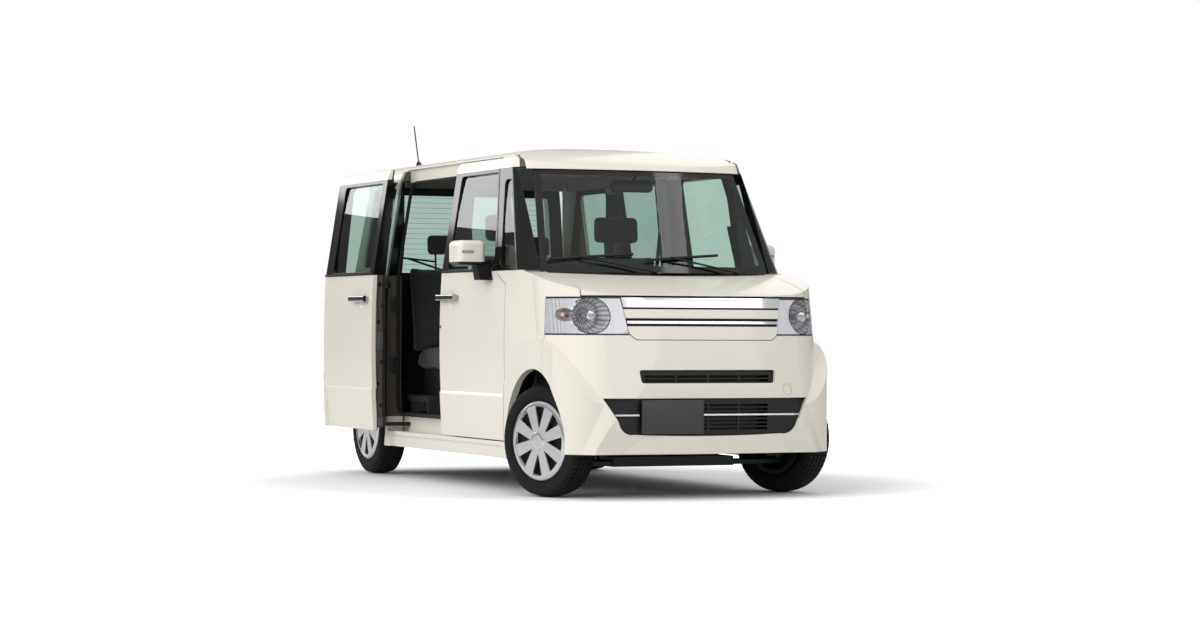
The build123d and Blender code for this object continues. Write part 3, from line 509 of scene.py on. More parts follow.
def makeWheelSilver(name, place, outward):  # bright spokes, with painted shade: near black behind them, where the recess between the spokes lies in shade
    s = wheelSet
    silver = Finish(name, (0.66, 0.67, 0.69), s["rough"], s["metal"],
                    Coat_Weight=s["lacquer"], Coat_Roughness=0.08)
    tree = silver.tree
    flakes = noise(tree, silver.coords, 3000.0, 1.0)
    color = silver.shaded(silver.color, silver.calc("MULTIPLY_ADD", flakes, 0.16, 0.92))
    dust = useGroup(tree, dustGroup, Amount=0.08, Top=0.6).outputs["Mask"]
    color = mixColor(tree, dust, color, (0.2, 0.18, 0.16, 1))
    away, along = newNode(tree, "VectorMath"), newNode(tree, "VectorMath")
    away.operation, along.operation = "SUBTRACT", "DOT_PRODUCT"
    away.inputs[1].default_value, along.inputs[1].default_value = place, outward
    tree.links.new(silver.coords, away.inputs[0])
    tree.links.new(away.outputs[0], along.inputs[0])
    # painted shade: everything deeper than the spokes is coloured near black and made dull, standing in for the
    # shade in the wheel's recess
    behind = silver.calc("LESS_THAN", along.outputs["Value"], s["spokesFrom"])
    silver.set("Base Color", mixColor(tree, behind, color, (0.012, 0.012, 0.013, 1)))
    silver.set("Metallic", silver.calc("MULTIPLY_ADD", behind, -s["metal"], s["metal"]))
    silver.set("Roughness", silver.calc("MULTIPLY_ADD", behind, s["behindRough"], s["rough"]))
    silver.set("Coat Weight", silver.calc("MULTIPLY_ADD", behind, -s["lacquer"], s["lacquer"]))
    silver.set("Normal", silver.softEdge(0.003))
    return silver.material


reflectorSet = {
    "x": 0.572, "z": 0.893, "radius": 0.084, "wall": 0.0015, "rim": (-0.001, 0.005),
    "flutes": 22, "steps": 95.0,
    "ribsFrom": 0.675, "ribs": 620.0, "ribRelief": 0.35, "relief": 0.006, "low": 0.806, "high": 0.976,
    "tone": 0.92, "paintedReflections": (0.6, 0.5),  # of the colour; the painted reflections' depth and darkest tone in the bowl
}


def makeReflector():  # fluted round bowl with painted reflections streaked over its colour, dark rim, ribs beside it
    lamp = Finish("lampReflector", (0.93, 0.94, 0.97), 0.12, 0.4)
    s = reflectorSet
    half = lamp.calc("ABSOLUTE", lamp.x)
    across = lamp.calc("SUBTRACT", half, s["x"])
    above = lamp.calc("SUBTRACT", lamp.z, s["z"])
    reach = lamp.calc("POWER", lamp.calc("ADD", lamp.calc("MULTIPLY", across, across),
                                         lamp.calc("MULTIPLY", above, above)), 0.5)
    angle = lamp.calc("ARCTAN2", above, across)
    inBowl = lamp.calc("LESS_THAN", reach, s["radius"] + s["wall"])
    flutes = lamp.calc("ABSOLUTE", lamp.calc("SINE", lamp.calc("MULTIPLY", angle, s["flutes"] / 2)))
    steps = lamp.calc("ABSOLUTE", lamp.calc("SINE", lamp.calc("MULTIPLY", reach, s["steps"])))
    facets = lamp.calc("MULTIPLY", inBowl, lamp.calc("MULTIPLY_ADD", steps, 0.5, flutes))
    beside = lamp.calc("GREATER_THAN", half, s["ribsFrom"])
    ribs = lamp.calc("MULTIPLY", beside, lamp.calc("SINE", lamp.calc("MULTIPLY", half, s["ribs"])))
    lamp.bump(lamp.calc("MULTIPLY_ADD", ribs, s["ribRelief"], facets), 1.0, s["relief"])
    rim = between(lamp.tree, reach, s["radius"] + s["rim"][0], s["radius"] + s["rim"][1])
    rim = lamp.calc("MULTIPLY", rim, lamp.calc("LESS_THAN", lamp.normal("Y"), -0.7))
    low = lamp.calc("LESS_THAN", lamp.z, s["low"])
    high = lamp.calc("GREATER_THAN", lamp.z, s["high"])
    dark = lamp.calc("MAXIMUM", rim, lamp.calc("MAXIMUM", low, high))
    # painted reflections: light and dark streaks in the bowl's colour, following the flutes and steps, stand in
    # for what its facets would reflect
    paintedReflections = lamp.calc("MULTIPLY_ADD", lamp.calc("MULTIPLY", flutes, steps), *s["paintedReflections"])
    paintedReflections = lamp.calc("MULTIPLY", inBowl, lamp.calc("SUBTRACT", paintedReflections, s["tone"]))
    color = lamp.shaded(lamp.color, lamp.calc("ADD", paintedReflections, s["tone"]))
    lamp.set("Base Color", mixColor(lamp.tree, dark, color, (0.05, 0.05, 0.055, 1)))
    return lamp.material


def makeCloth(name, color):
    cloth = Finish(name, color, 0.92, Sheen_Weight=0.35, Sheen_Roughness=0.4)
    warp = cloth.calc("SINE", cloth.calc("MULTIPLY", cloth.x, 1700.0))
    lift = cloth.calc("ADD", cloth.calc("MULTIPLY", cloth.y, 1500.0), cloth.calc("MULTIPLY", cloth.z, 1500.0))
    weave = cloth.calc("MULTIPLY", warp, cloth.calc("SINE", lift))
    cloth.bump(weave, 0.5, 0.0008)
    patch = noise(cloth.tree, cloth.coords, 9.0, 3.0)
    shade = cloth.calc("ADD", cloth.calc("MULTIPLY", weave, 0.12), cloth.calc("MULTIPLY_ADD", patch, 0.3, 0.8))
    cloth.set("Base Color", cloth.shaded(cloth.color, shade))
    return cloth.material


def makeTailLens():
    lens = Finish("tailLens", (0.30, 0.004, 0.006), 0.08, Coat_Weight=0.6, Coat_Roughness=0.03)
    ribs = lens.calc("SINE", lens.calc("MULTIPLY", lens.z, 700.0))
    clearBand = between(lens.tree, lens.z, 0.86, 0.93)
    lens.set("Base Color", mixColor(lens.tree, clearBand, lens.color, (0.75, 0.72, 0.70, 1)))
    lens.bump(ribs, 0.25, 0.0015)
    return lens.material


def makeMetal(name, color, rough, metal, scale, strength):
    surface = Finish(name, color, rough, metal)
    shade = surface.grain(scale, strength, 0.25, 0.0008)
    surface.set("Base Color", surface.shaded(surface.color, shade))
    return surface.material


carpetFrom = {"z": 0.3295, "y": aft(0.2149)}


def makeFloorPan():  # carpet above, sealed steel below
    pan = Finish("floorPan", (0.02, 0.02, 0.021), 0.85)
    high = pan.calc("GREATER_THAN", pan.z, carpetFrom["z"])
    inside = pan.calc("GREATER_THAN", pan.y, carpetFrom["y"])
    tuft = noise(pan.tree, pan.coords, 900.0, 2.0)
    pan.bump(tuft, 0.6, 0.002)
    carpet = pan.shaded((*colors["carpet"], 1), pan.calc("MULTIPLY_ADD", tuft, 0.8, 0.6))
    mask = pan.calc("MULTIPLY", high, inside)
    pan.set("Base Color", mixColor(pan.tree, mask, pan.color, carpet))
    return pan.material


finishes = {
    "paint": makePaint("bodyPaint"),
    "roofPaint": makePaint("roofPaint", (faceDown, "lining", 0.9)),
    "bonnetPaint": makePaint("bonnetPaint", (faceDown, "underside", 0.4)),
    "gatePaint": makePaint("gatePaint", (faceAhead, "trimDark", 0.6)),
    "mirrorPaint": makePaint("mirrorPaint", (mirrorFoot, "pillarBlack", 0.3)),
    "sidePaint": makePaint("sidePaint", (frameEdge, "jamb", 0.35), (frameInside, "trimDark", 0.6),
                           (pillarBand, "pillarBlack", 0.1)),
    "doorPaint": makePaint("doorPaint", *doorCoats(0.0)),
    "openDoorPaint": makePaint("openDoorPaint", *doorCoats(bodyLines["slideOut"])),
    "screen": makeGlass("screenGlass", (0.82, 0.89, 0.86), screenBorder),
    "sideGlass": makeGlass("sideGlass", (0.78, 0.86, 0.82)),
    "rearGlass": makeGlass("rearGlass", (0.62, 0.72, 0.68), heaterLines),
    "slideGlass": makeGlass("slideGlass", (0.62, 0.72, 0.68)),
    "lampLens": makeGlass("lampLens", (0.99, 0.99, 1.0)),
    "tailLens": makeTailLens(),
    "chrome": makeChrome("brightChrome", (0.82, 0.83, 0.85), 0.05),
    "handle": makeChrome("handleChrome", (0.42, 0.43, 0.45), 0.10),
    "reflector": makeReflector(),
    "tyre": makeRubber(),
    "blackPlastic": makePlastic("blackPlastic", (0.008, 0.008, 0.009), 0.42),
    "cabinPlastic": makePlastic("cabinPlastic", (0.028, 0.028, 0.031), 0.62, 900.0, 0.6),
    "seatCloth": makeCloth("seatCloth", (0.05, 0.05, 0.055)),
    "casting": makeMetal("casting", (0.16, 0.16, 0.165), 0.6, 0.7, 260.0, 0.6),
    "bareSteel": makeMetal("bareSteel", (0.42, 0.41, 0.40), 0.38, 1.0, 500.0, 0.2),
    "chassis": makeMetal("chassisBlack", (0.02, 0.02, 0.021), 0.55, 0.0, 300.0, 0.4),
    "carpet": makeFloorPan(),
    "plate": makePlastic("plateGrey", (0.050, 0.051, 0.054), 0.45, 500.0, 0.1, 0.0),
    "seam": makePlastic("seamShade", (0.30, 0.28, 0.24), 0.6, 900.0, 0.1, 0.0),
    "rubber": makePlastic("sealRubber", (0.012, 0.012, 0.012), 0.7, 1200.0, 0.4, 0.0),
    "webbing": makeCloth("beltWebbing", (0.03, 0.03, 0.032)),
    "lining": makeCloth("roofLining", (0.42, 0.41, 0.38)),
    "screenPanel": makePlastic("screenPanel", (0.006, 0.007, 0.009), 0.12, 300.0, 0.02, 0.0),
    "lampGrey": makePlastic("lampGrey", (0.30, 0.31, 0.32), 0.12, 600.0, 0.2, 0.0),
    "mirror": makeChrome("mirrorGlass", (0.9, 0.9, 0.92), 0.01),
    "amber": makePlastic("amberBulb", (0.75, 0.22, 0.015), 0.1, 300.0, 0.05, 0.0),
}
nodeFinishes = {
    "paint": ("front_fenders", "front_bumper", "rear_bumper", "front_grille"),
    "bonnetPaint": ("bonnet",),
    "gatePaint": ("tailgate",),
    "roofPaint": ("roof_panel",),
    "mirrorPaint": ("door_mirror_right", "door_mirror_left"),
    "carpet": ("floor_pan",),
    "sidePaint": ("side_frame_right", "side_frame_left"),
    "doorPaint": ("front_door_right", "front_door_left", "sliding_door_left"),
    "openDoorPaint": ("sliding_door_right",),
    "screen": ("windscreen",),
    "sideGlass": ("front_door_glass_right", "front_door_glass_left"),
    "rearGlass": ("tailgate_glass",),
    "slideGlass": ("sliding_door_glass", "fixed_side_glass"),
    "lampLens": ("headlamp_lenses",),
    "tailLens": ("tail_lamps",),
    "chrome": ("grille_trim",),
    "reflector": ("headlamp_housings",),
    "handle": ("front_door_handle_right", "front_door_handle_left", "sliding_door_handles"),
    "tyre": ("front_tyre_right", "front_tyre_left", "rear_tyre_right", "rear_tyre_left"),
    "blackPlastic": ("bumper_grille", "cowl_panel", "windscreen_wipers", "antenna", "sliding_door_arms"),
    "cabinPlastic": ("dashboard", "steering_wheel"),
    "seatCloth": ("front_seats", "rear_seats"),
    "casting": ("engine", "knuckle_right", "knuckle_left"),
    "bareSteel": ("exhaust",),
    "chassis": ("front_suspension", "rear_axle", "fuel_tank", "radiator"),
}


def dressNode(name, finish):
    mesh = nodes[name].data
    mesh.materials.clear()
    mesh.materials.append(finishes[finish])
    for face in mesh.polygons:
        face.material_index = 0


for finish, names in nodeFinishes.items():
    for name in names:
        dressNode(name, finish)
for joint in frame["joints"]:
    if joint["name"].endswith("_spin"):
        wheel = joint["child"]
        outward = Vector(joint["axis"]) * (1 if joint["axis"][0] * joint["pos_m"][0] > 0 else -1)
        finishes[wheel] = makeWheelSilver(f"wheelSilver_{wheel}", joint["pos_m"], outward)
        dressNode(wheel, wheel)
print("nodes dressed")

# Mesh helpers

def meshFrom(shape, name, smooth=40):
    mesh = bpy.data.meshes.new(name)
    shape.to_mesh(mesh)
    shape.free()
    if smooth:
        mesh.polygons.foreach_set("use_smooth", [True] * len(mesh.polygons))
        mesh.set_sharp_from_angle(angle=math.radians(smooth))
    return mesh


def addPiece(name, mesh, finish, body="car_body", slot=None):
    mesh.materials.clear()
    mesh.materials.append(finishes[finish])
    piece = placed(name, mesh)
    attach(piece, body)
    return piece


def joined(name, meshes):
    shape = bmesh.new()
    for mesh in meshes:
        shape.from_mesh(mesh)
        bpy.data.meshes.remove(mesh)
    return meshFrom(shape, name)


def flipped(mesh):
    other = mesh.copy()
    other.transform(Matrix.Diagonal((-1, 1, 1, 1)))
    other.flip_normals()
    return other


def addJoined(name, meshes, *rest):  # several meshes as one piece
    addPiece(name, joined(name, meshes), *rest)


def addBothSides(name, meshes, *rest):  # the same with their mirror images
    addJoined(name, meshes + [flipped(mesh) for mesh in meshes], *rest)


def evaluated(holder):  # an object's mesh with its modifiers applied
    return bpy.data.meshes.new_from_object(holder.evaluated_get(bpy.context.evaluated_depsgraph_get()))


def facing(place, normal, up=(0, 0, 1)):  # local X to the right of up, local Y up, local Z along the normal
    outward = Vector(normal).normalized()
    right = Vector(up).cross(outward).normalized()
    turn = Matrix((right, outward.cross(right), outward)).transposed()
    return Matrix.Translation(place) @ turn.to_4x4()


def boxesMesh(name, parts, bevel=0.002):  # parts: centre, size
    shape = bmesh.new()
    for centre, size in parts:
        corners = bmesh.ops.create_cube(shape, size=1.0)["verts"]
        bmesh.ops.scale(shape, vec=size, verts=corners)
        bmesh.ops.translate(shape, vec=centre, verts=corners)
    if bevel:
        bmesh.ops.bevel(shape, geom=shape.edges[:], offset=bevel, segments=2, affect="EDGES", profile=0.5)
    return meshFrom(shape, name)


def turnedMesh(name, profile, place, axis, steps=40):  # profile: distance along the axis, radius
    shape = bmesh.new()
    points = [shape.verts.new((radius, 0, along)) for along, radius in profile]
    edges = [shape.edges.new(pair) for pair in zip(points, points[1:])]
    bmesh.ops.spin(
        shape, geom=points + edges, cent=(0, 0, 0), axis=(0, 0, 1), angle=2 * math.pi, steps=steps)
    bmesh.ops.remove_doubles(shape, verts=shape.verts[:], dist=1e-6)
    bmesh.ops.recalc_face_normals(shape, faces=shape.faces[:])
    turn = Vector((0, 0, 1)).rotation_difference(Vector(axis)).to_matrix().to_4x4()
    bmesh.ops.transform(shape, matrix=Matrix.Translation(place) @ turn, verts=shape.verts[:])
    return meshFrom(shape, name)


def discMesh(name, radius, thick, place, axis, steps=28):
    edge = min(radius, thick) * 0.3
    profile = ((0, 0), (0, radius), (thick - edge, radius), (thick, radius - edge), (thick, 0))
    return turnedMesh(name, profile, place, axis, steps)


def roundedRectangle(wide, high, corner, steps=5):
    points = []
    for quarter, (signX, signY) in enumerate(((1, 1), (-1, 1), (-1, -1), (1, -1))):
        for step in range(steps + 1):
            angle = math.pi / 2 * (quarter + step / steps)
            points.append((signX * (wide / 2 - corner) + corner * math.cos(angle),
                           signY * (high / 2 - corner) + corner * math.sin(angle)))
    return points


def plateMesh(name, wide, high, thick, corner, matrix, bevel=0.001):
    shape = bmesh.new()
    face = shape.faces.new([shape.verts.new((x, y, 0)) for x, y in roundedRectangle(wide, high, corner)])
    top = bmesh.ops.extrude_face_region(shape, geom=[face])["geom"]
    raised = [item for item in top if isinstance(item, bmesh.types.BMVert)]
    bmesh.ops.translate(shape, vec=(0, 0, thick), verts=raised)
    bmesh.ops.recalc_face_normals(shape, faces=shape.faces[:])
    if bevel:
        rim = [edge for edge in shape.edges if all(v.co.z > thick / 2 for v in edge.verts)]
        bmesh.ops.bevel(shape, geom=rim, offset=bevel, segments=2, affect="EDGES", profile=0.5)
    bmesh.ops.transform(shape, matrix=matrix, verts=shape.verts[:])
    return meshFrom(shape, name)


def tubeMesh(name, points, radius, closed=False, sides=2):
    curve = bpy.data.curves.new(name, "CURVE")
    curve.dimensions = "3D"
    curve.bevel_depth = radius
    curve.bevel_resolution = sides
    curve.use_fill_caps = True
    spline = curve.splines.new("POLY")
    spline.points.add(len(points) - 1)
    for point, place in zip(spline.points, points):
        point.co = (*place, 1)
    spline.use_cyclic_u = closed
    holder = placed(name, curve)
    mesh = evaluated(holder)
    bpy.data.objects.remove(holder)
    bpy.data.curves.remove(curve)
    return joined(name, [mesh])


def softCorners(points, radius, steps=5):  # a closed polygon with each corner drawn as a short curve
    made = []
    for index, point in enumerate(points):
        here = Vector(point)
        before = Vector(points[index - 1]) - here
        after = Vector(points[(index + 1) % len(points)]) - here
        start = here + before.normalized() * min(radius, before.length / 2.2)
        end = here + after.normalized() * min(radius, after.length / 2.2)
        for step in range(steps + 1):
            t = step / steps
            made.append(start * (1 - t) ** 2 + here * 2 * t * (1 - t) + end * t ** 2)
    return made


surfaceTrees = {}


def touch(node, place, way):  # where a ray from that place first meets a CAD node
    if node not in surfaceTrees:
        mesh = nodes[node].data
        surfaceTrees[node] = BVHTree.FromPolygons(
            [v.co for v in mesh.vertices], [p.vertices for p in mesh.polygons])
    return surfaceTrees[node].ray_cast(Vector(place), Vector(way))[0]


def touches(node, places, way):  # only the places that are met
    spots = [touch(node, place, way) for place in places]
    return [spot for spot in spots if spot]


def bodySide(height):  # half width of the car's side at a height, from the belt line's tumblehome
    return bodyLines["side"] - bodyLines["lean"] * max(height - bodyLines["leanFrom"], 0)


# Tyres: a carcass with tread blocks set round it

tyreSet = {
    "radius": 0.278,
    "crownDrop": 0.009,
    "shoulder": 0.0635,
    "treadDepth": 0.007, "blockRoot": 1.6, "blockEdge": 0.0007,  # the root as a multiple of the depth
    "treadLine": (0.064, 0.04, 0.02, 0.0), "steps": 96,
    "pitches": 62,
    "valve": ((0.048, 0), (0.048, 0.005), (0.066, 0.004), (0.068, 0.003), (0.068, 0)),
    "valvePlace": (0.118, 0.084),
    "blocks": (  # centre across the tread, width, skew, length share
        (-0.0535, 0.022, 0.004, 0.80),
        (-0.0275, 0.020, -0.006, 0.86),
        (0.0, 0.022, 0.007, 0.88),
        (0.0275, 0.020, -0.006, 0.86),
        (0.0535, 0.022, 0.004, 0.80),
    ),
    "sideProfile": (  # across, radius: from the bead to the shoulder
        (0.053, 0.178), (0.054, 0.190), (0.066, 0.196), (0.0735, 0.208), (0.0745, 0.2085), (0.0765, 0.220),
        (0.0775, 0.230), (0.077, 0.242), (0.0745, 0.254), (0.0705, 0.2605), (0.0665, 0.2625)),
}


def crown(across):
    return tyreSet["radius"] - tyreSet["crownDrop"] * (across / tyreSet["shoulder"]) ** 2


def treadBlocks():
    shape = bmesh.new()
    pitch = 2 * math.pi * tyreSet["radius"] / tyreSet["pitches"]
    for centre, wide, skew, share in tyreSet["blocks"]:
        corners = []
        for depth in (tyreSet["blockRoot"] * tyreSet["treadDepth"], 0.0):
            for endSign, sideSign in ((-1, -1), (1, -1), (1, 1), (-1, 1)):
                across = centre + sideSign * wide / 2
                along = endSign * pitch * share / 2 + sideSign * skew / 2
                corners.append(shape.verts.new((across, along, crown(across) - depth)))
        for loop in ((0, 3, 2, 1), (4, 5, 6, 7), (0, 1, 5, 4), (1, 2, 6, 5), (2, 3, 7, 6), (3, 0, 4, 7)):
            shape.faces.new([corners[i] for i in loop])
    bmesh.ops.recalc_face_normals(shape, faces=shape.faces[:])
    bmesh.ops.bevel(shape, geom=shape.edges[:], offset=tyreSet["blockEdge"], segments=1, affect="EDGES")
    return meshFrom(shape, "treadBlocks", None)


def makeRingGroup():  # sets copies of a mesh round the X axis
    group = bpy.data.node_groups.new("ringOfCopies", "GeometryNodeTree")
    for label, kind in (("Copy", "Geometry"), ("Count", "Int"), ("Finish", "Material")):
        group.interface.new_socket(label, in_out="INPUT", socket_type="NodeSocket" + kind)
    group.interface.new_socket("Ring", in_out="OUTPUT", socket_type="NodeSocketGeometry")
    new, link = group.nodes.new, group.links.new
    source, sink = new("NodeGroupInput"), new("NodeGroupOutput")
    points = new("GeometryNodePoints")
    link(source.outputs["Count"], points.inputs["Count"])
    step = new("ShaderNodeMath")
    step.operation = "DIVIDE"
    step.inputs[0].default_value = 2 * math.pi
    link(source.outputs["Count"], step.inputs[1])
    angle = new("ShaderNodeMath")
    angle.operation = "MULTIPLY"
    link(new("GeometryNodeInputIndex").outputs[0], angle.inputs[0])
    link(step.outputs[0], angle.inputs[1])
    turn = new("ShaderNodeCombineXYZ")
    link(angle.outputs[0], turn.inputs["X"])
    copies = new("GeometryNodeInstanceOnPoints")
    link(points.outputs[0], copies.inputs["Points"])
    link(source.outputs["Copy"], copies.inputs["Instance"])
    link(turn.outputs[0], copies.inputs["Rotation"])
    plain = new("GeometryNodeRealizeInstances")
    link(copies.outputs[0], plain.inputs[0])
    dressed = new("GeometryNodeSetMaterial")
    link(plain.outputs[0], dressed.inputs["Geometry"])
    link(source.outputs["Finish"], dressed.inputs["Material"])
    link(dressed.outputs[0], sink.inputs[0])
    return group


ringGroup = makeRingGroup()


def ringMesh(name, copy, count, finish):
    holder = placed(name, copy)
    nodesModifier = holder.modifiers.new("ring", "NODES")
    nodesModifier.node_group = ringGroup
    values = {"Count": count, "Finish": finishes[finish]}
    for item in ringGroup.interface.items_tree:
        if item.in_out == "INPUT" and item.name in values:
            nodesModifier[item.identifier] = values[item.name]
    mesh = evaluated(holder)
    bpy.data.objects.remove(holder)
    return mesh


def carcassMesh():
    tread = [(across, crown(across) - tyreSet["treadDepth"]) for across in tyreSet["treadLine"]]
    right = list(tyreSet["sideProfile"]) + tread
    profile = right + [(-across, radius) for across, radius in reversed(right[:-1])]
    return turnedMesh("carcass", profile + [profile[0]], (0, 0, 0), (1, 0, 0), tyreSet["steps"])


def wheelPlaces():  # body of each wheel, its place and how its spin axis lies
    spins = {joint["child"]: joint for joint in frame["joints"] if joint["name"].endswith("_spin")}
    for corner in ("front", "rear"):
        for hand in ("right", "left"):
            body = f"{corner}_wheel_{hand}"
            turn = Vector((1, 0, 0)).rotation_difference(Vector(spins[body]["axis"])).to_matrix().to_4x4()
            yield body, corner, hand, Matrix.Translation(spins[body]["pos_m"]) @ turn


def makeTyres():
    carcass = carcassMesh()
    tread = ringMesh("tread", treadBlocks(), tyreSet["pitches"], "tyre")
    for body, corner, hand, matrix in wheelPlaces():
        mesh = joined(f"tyreMesh_{body}", (carcass.copy(), tread.copy()))
        mesh.transform(matrix)
        tyre = addPiece(f"treadedTyre_{corner}_{hand}", mesh, "tyre", body, "tyre")
        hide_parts(f"{corner}_tyre_{hand}")
        outward = -1 if hand == "right" else 1
        valve = turnedMesh("valve", tyreSet["valve"], (0, *tyreSet["valvePlace"]), (outward, 0, 0), 12)
        valve.transform(matrix)
        addPiece(f"valve_{corner}_{hand}", valve, "rubber", body)
    print("tyres made")


# Front: blank plate, tow cover, air guides, lamp parts

noseSet = {
    "plate": (0.330, 0.165, 0.002, 0.008),  # width, height, thickness, corner
    "platePlace": (-0.200, aft(-0.488), 0.403),
    "holderInset": (0.05, 0.03), "holderDeep": 0.026,
    "towX": 0.432, "towZ": 0.535, "towRadius": 0.027, "towPoints": 40, "seam": 0.0009,
    "guideX": 0.338, "guideBack": -0.349, "guideLow": 0.326, "guideHigh": 0.646,
    "guideSteps": 8, "guideThick": 0.005, "guideGap": 0.001,
    "bowls": ((-0.572, -0.318, 0.893), (-0.668, -0.206, 0.897)),  # x, y aft, z
    "lampParts": (  # name, finish, bowl, distance behind the bowl's place, steps, profile
        ("bulbShields", "chrome", 0, 0.004, 40,
         ((0, 0), (0, 0.021), (0.028, 0.023), (0.033, 0.018), (0.034, 0))),
        ("bowlRings", "chrome", 0, 0.052, 64,
         ((0, 0.058), (0.004, 0.060), (0.008, 0.058), (0.004, 0.055), (0, 0.058))),
        ("amberBulbs", "amber", 1, 0.010, 40,
         ((0, 0), (0, 0.0135), (0.012, 0.0140), (0.022, 0.0105), (0.027, 0))),
    ),
}
ahead, behind = (0, -1, 0), (0, 1, 0)


def airGuides():  # beside the radiator, from its edge to the bumper's inner side
    s = noseSet
    guides = []
    tall = (s["guideHigh"] - s["guideLow"]) / s["guideSteps"]
    for step in range(s["guideSteps"]):
        start = Vector((s["guideX"], aft(s["guideBack"]), s["guideLow"] + (step + 0.5) * tall))
        end = touch("bumper_grille", start, ahead) or touch("front_bumper", start, ahead)
        if end:
            depth = start.y - end.y - s["guideGap"]
            place = Vector((start.x, start.y - depth / 2, start.z))
            guides.append((place, (s["guideThick"], depth, tall)))
    return guides + [(Vector((-place.x, place.y, place.z)), size) for place, size in guides]


def makeNose():
    s = noseSet
    addPiece("blankPlate", plateMesh("blankPlate", *s["plate"], facing(s["platePlace"], ahead)), "plate")
    x, y, z = s["platePlace"]
    size = (s["plate"][0] - s["holderInset"][0], s["holderDeep"], s["plate"][1] - s["holderInset"][1])
    holder = boxesMesh("plateHolder", [((x, y + s["holderDeep"] / 2, z), size)], 0.003)
    addPiece("plateHolder", holder, "blackPlastic")
    turns = [2 * math.pi * point / s["towPoints"] for point in range(s["towPoints"])]
    line = touches("front_bumper", [
        (s["towX"] + s["towRadius"] * math.cos(turn), -3, s["towZ"] + s["towRadius"] * math.sin(turn))
        for turn in turns], behind)
    addPiece("towCoverSeam", tubeMesh("towCoverSeam", line, s["seam"], True, 1), "seam")
    addPiece("airGuides", boxesMesh("airGuides", airGuides(), 0), "blackPlastic")
    for name, finish, bowl, depth, steps, profile in s["lampParts"]:
        x, back, z = s["bowls"][bowl]
        place = Vector((x, aft(back), z)) + Vector((0, depth, 0))
        addBothSides(name, [turnedMesh(name, profile, place, ahead, steps)], finish)
    print("nose made")


# Doors: mirrors, keyholes, mouldings, arm rests, rails, fuel flap

doorSet = {
    "mirrorX": 0.828, "mirrorFront": 0.5895, "mirrorRear": 0.7545, "mirrorZ": 1.213,
    "mirrorGlass": (0.128, 0.108, 0.002, 0.022), "mirrorLamp": (0.062, 0.015, 0.004, 0.006),
    "lampOut": 0.028, "lampUp": 0.006, "lampSunk": 0.0002, "lampNormal": (-0.06, -1, 0.02),
    "beltZ": 1.1285, "beltHigh": 0.011, "beltThick": 0.006, "beltOut": 0.0005,
    "frontDoor": (0.545, 1.306), "slideDoor": (1.330, 2.150),
    "slideShift": (bodyLines["slideOut"], 0.715),  # outwards and back
    "keyY": 1.298, "keyZ": 0.835, "keyRadius": 0.009, "keyThick": 0.0025,
    "restY": 0.97, "restLong": 0.40, "restZ": 0.775, "restDeep": 0.048, "restHigh": 0.05, "restEdge": 0.014,
    "restSunk": 0.002, "slideRestY": {"right": 2.42, "left": 1.72}, "slideRestLong": 0.34,
    "railPlace": (-0.7385, aft(2.44), 0.935), "railSize": (0.004, 0.50, 0.026),
    "flapY": 2.46, "flapZ": 0.80, "flapSize": 0.082, "flapCorner": 0.03, "flapSeam": 0.0011,
}


def beltStrip(name, start, end, out=0, back=0):
    s = doorSet
    middle = (-bodySide(s["beltZ"]) - s["beltOut"] - out, aft((start + end) / 2 + back), s["beltZ"])
    return boxesMesh(name, [(middle, (s["beltThick"], end - start, s["beltHigh"]))], 0.002)


def makeArmRests():
    s = doorSet
    for hand, sign in (("right", -1), ("left", 1)):
        front, slide = f"front_door_{hand}", f"sliding_door_{hand}"
        for name, body, node, back, long in (
                (f"armRest_{hand}", front, front, s["restY"], s["restLong"]),
                (f"slideDoorRest_{hand}", "car_body", slide, s["slideRestY"][hand], s["slideRestLong"])):
            spot = touch(node, (sign * 0.3, aft(back), s["restZ"]), (sign, 0, 0))
            x = spot.x - sign * (s["restDeep"] / 2 - s["restSunk"])
            size = (s["restDeep"], long, s["restHigh"])
            rest = boxesMesh(name, [((x, aft(back), s["restZ"]), size)], s["restEdge"])
            addPiece(name, rest, "cabinPlastic", body)


def makeDoors():
    s = doorSet
    lampPlace = (-s["mirrorX"] - s["lampOut"], aft(s["mirrorFront"] - s["lampSunk"]),
                 s["mirrorZ"] + s["lampUp"])
    glassPlace = (-s["mirrorX"], aft(s["mirrorRear"]), s["mirrorZ"])
    keyPlace = touch("front_door_right", (-2, aft(s["keyY"]), s["keyZ"]), (1, 0, 0))
    parts = (
        ("mirrorLamp", plateMesh("lamp", *s["mirrorLamp"], facing(lampPlace, s["lampNormal"])), "lampGrey"),
        ("mirrorGlass", plateMesh("glass", *s["mirrorGlass"], facing(glassPlace, behind)), "mirror"),
        ("beltMoulding", beltStrip("belt", *s["frontDoor"]), "rubber"),
        ("keyhole", discMesh("key", s["keyRadius"], s["keyThick"], keyPlace, (-1, 0, 0)), "handle"))
    for hand, turn in (("right", lambda mesh: mesh.copy()), ("left", flipped)):
        for name, mesh, finish in parts:
            addPiece(f"{name}_{hand}", turn(mesh), finish, f"front_door_{hand}")
    makeArmRests()
    addBothSides("slideRails", [boxesMesh("rail", [(s["railPlace"], s["railSize"])], 0.001)], "blackPlastic")
    ring = roundedRectangle(2 * s["flapSize"], 2 * s["flapSize"], s["flapCorner"])
    seam = touches("side_frame_left", [(2, aft(s["flapY"] + x), s["flapZ"] + z) for x, z in ring], (-1, 0, 0))
    addPiece("fuelFlapSeam", tubeMesh("fuelFlapSeam", seam, s["flapSeam"], True, 1), "seam")
    belts = [beltStrip("open", *s["slideDoor"], *s["slideShift"]), flipped(beltStrip("shut", *s["slideDoor"]))]
    addJoined("slideDoorMouldings", belts, "rubber")
    print("doors made")


# Right doorway: rubber seal, scuff plate, strikers, plugs, and the edge of the open door

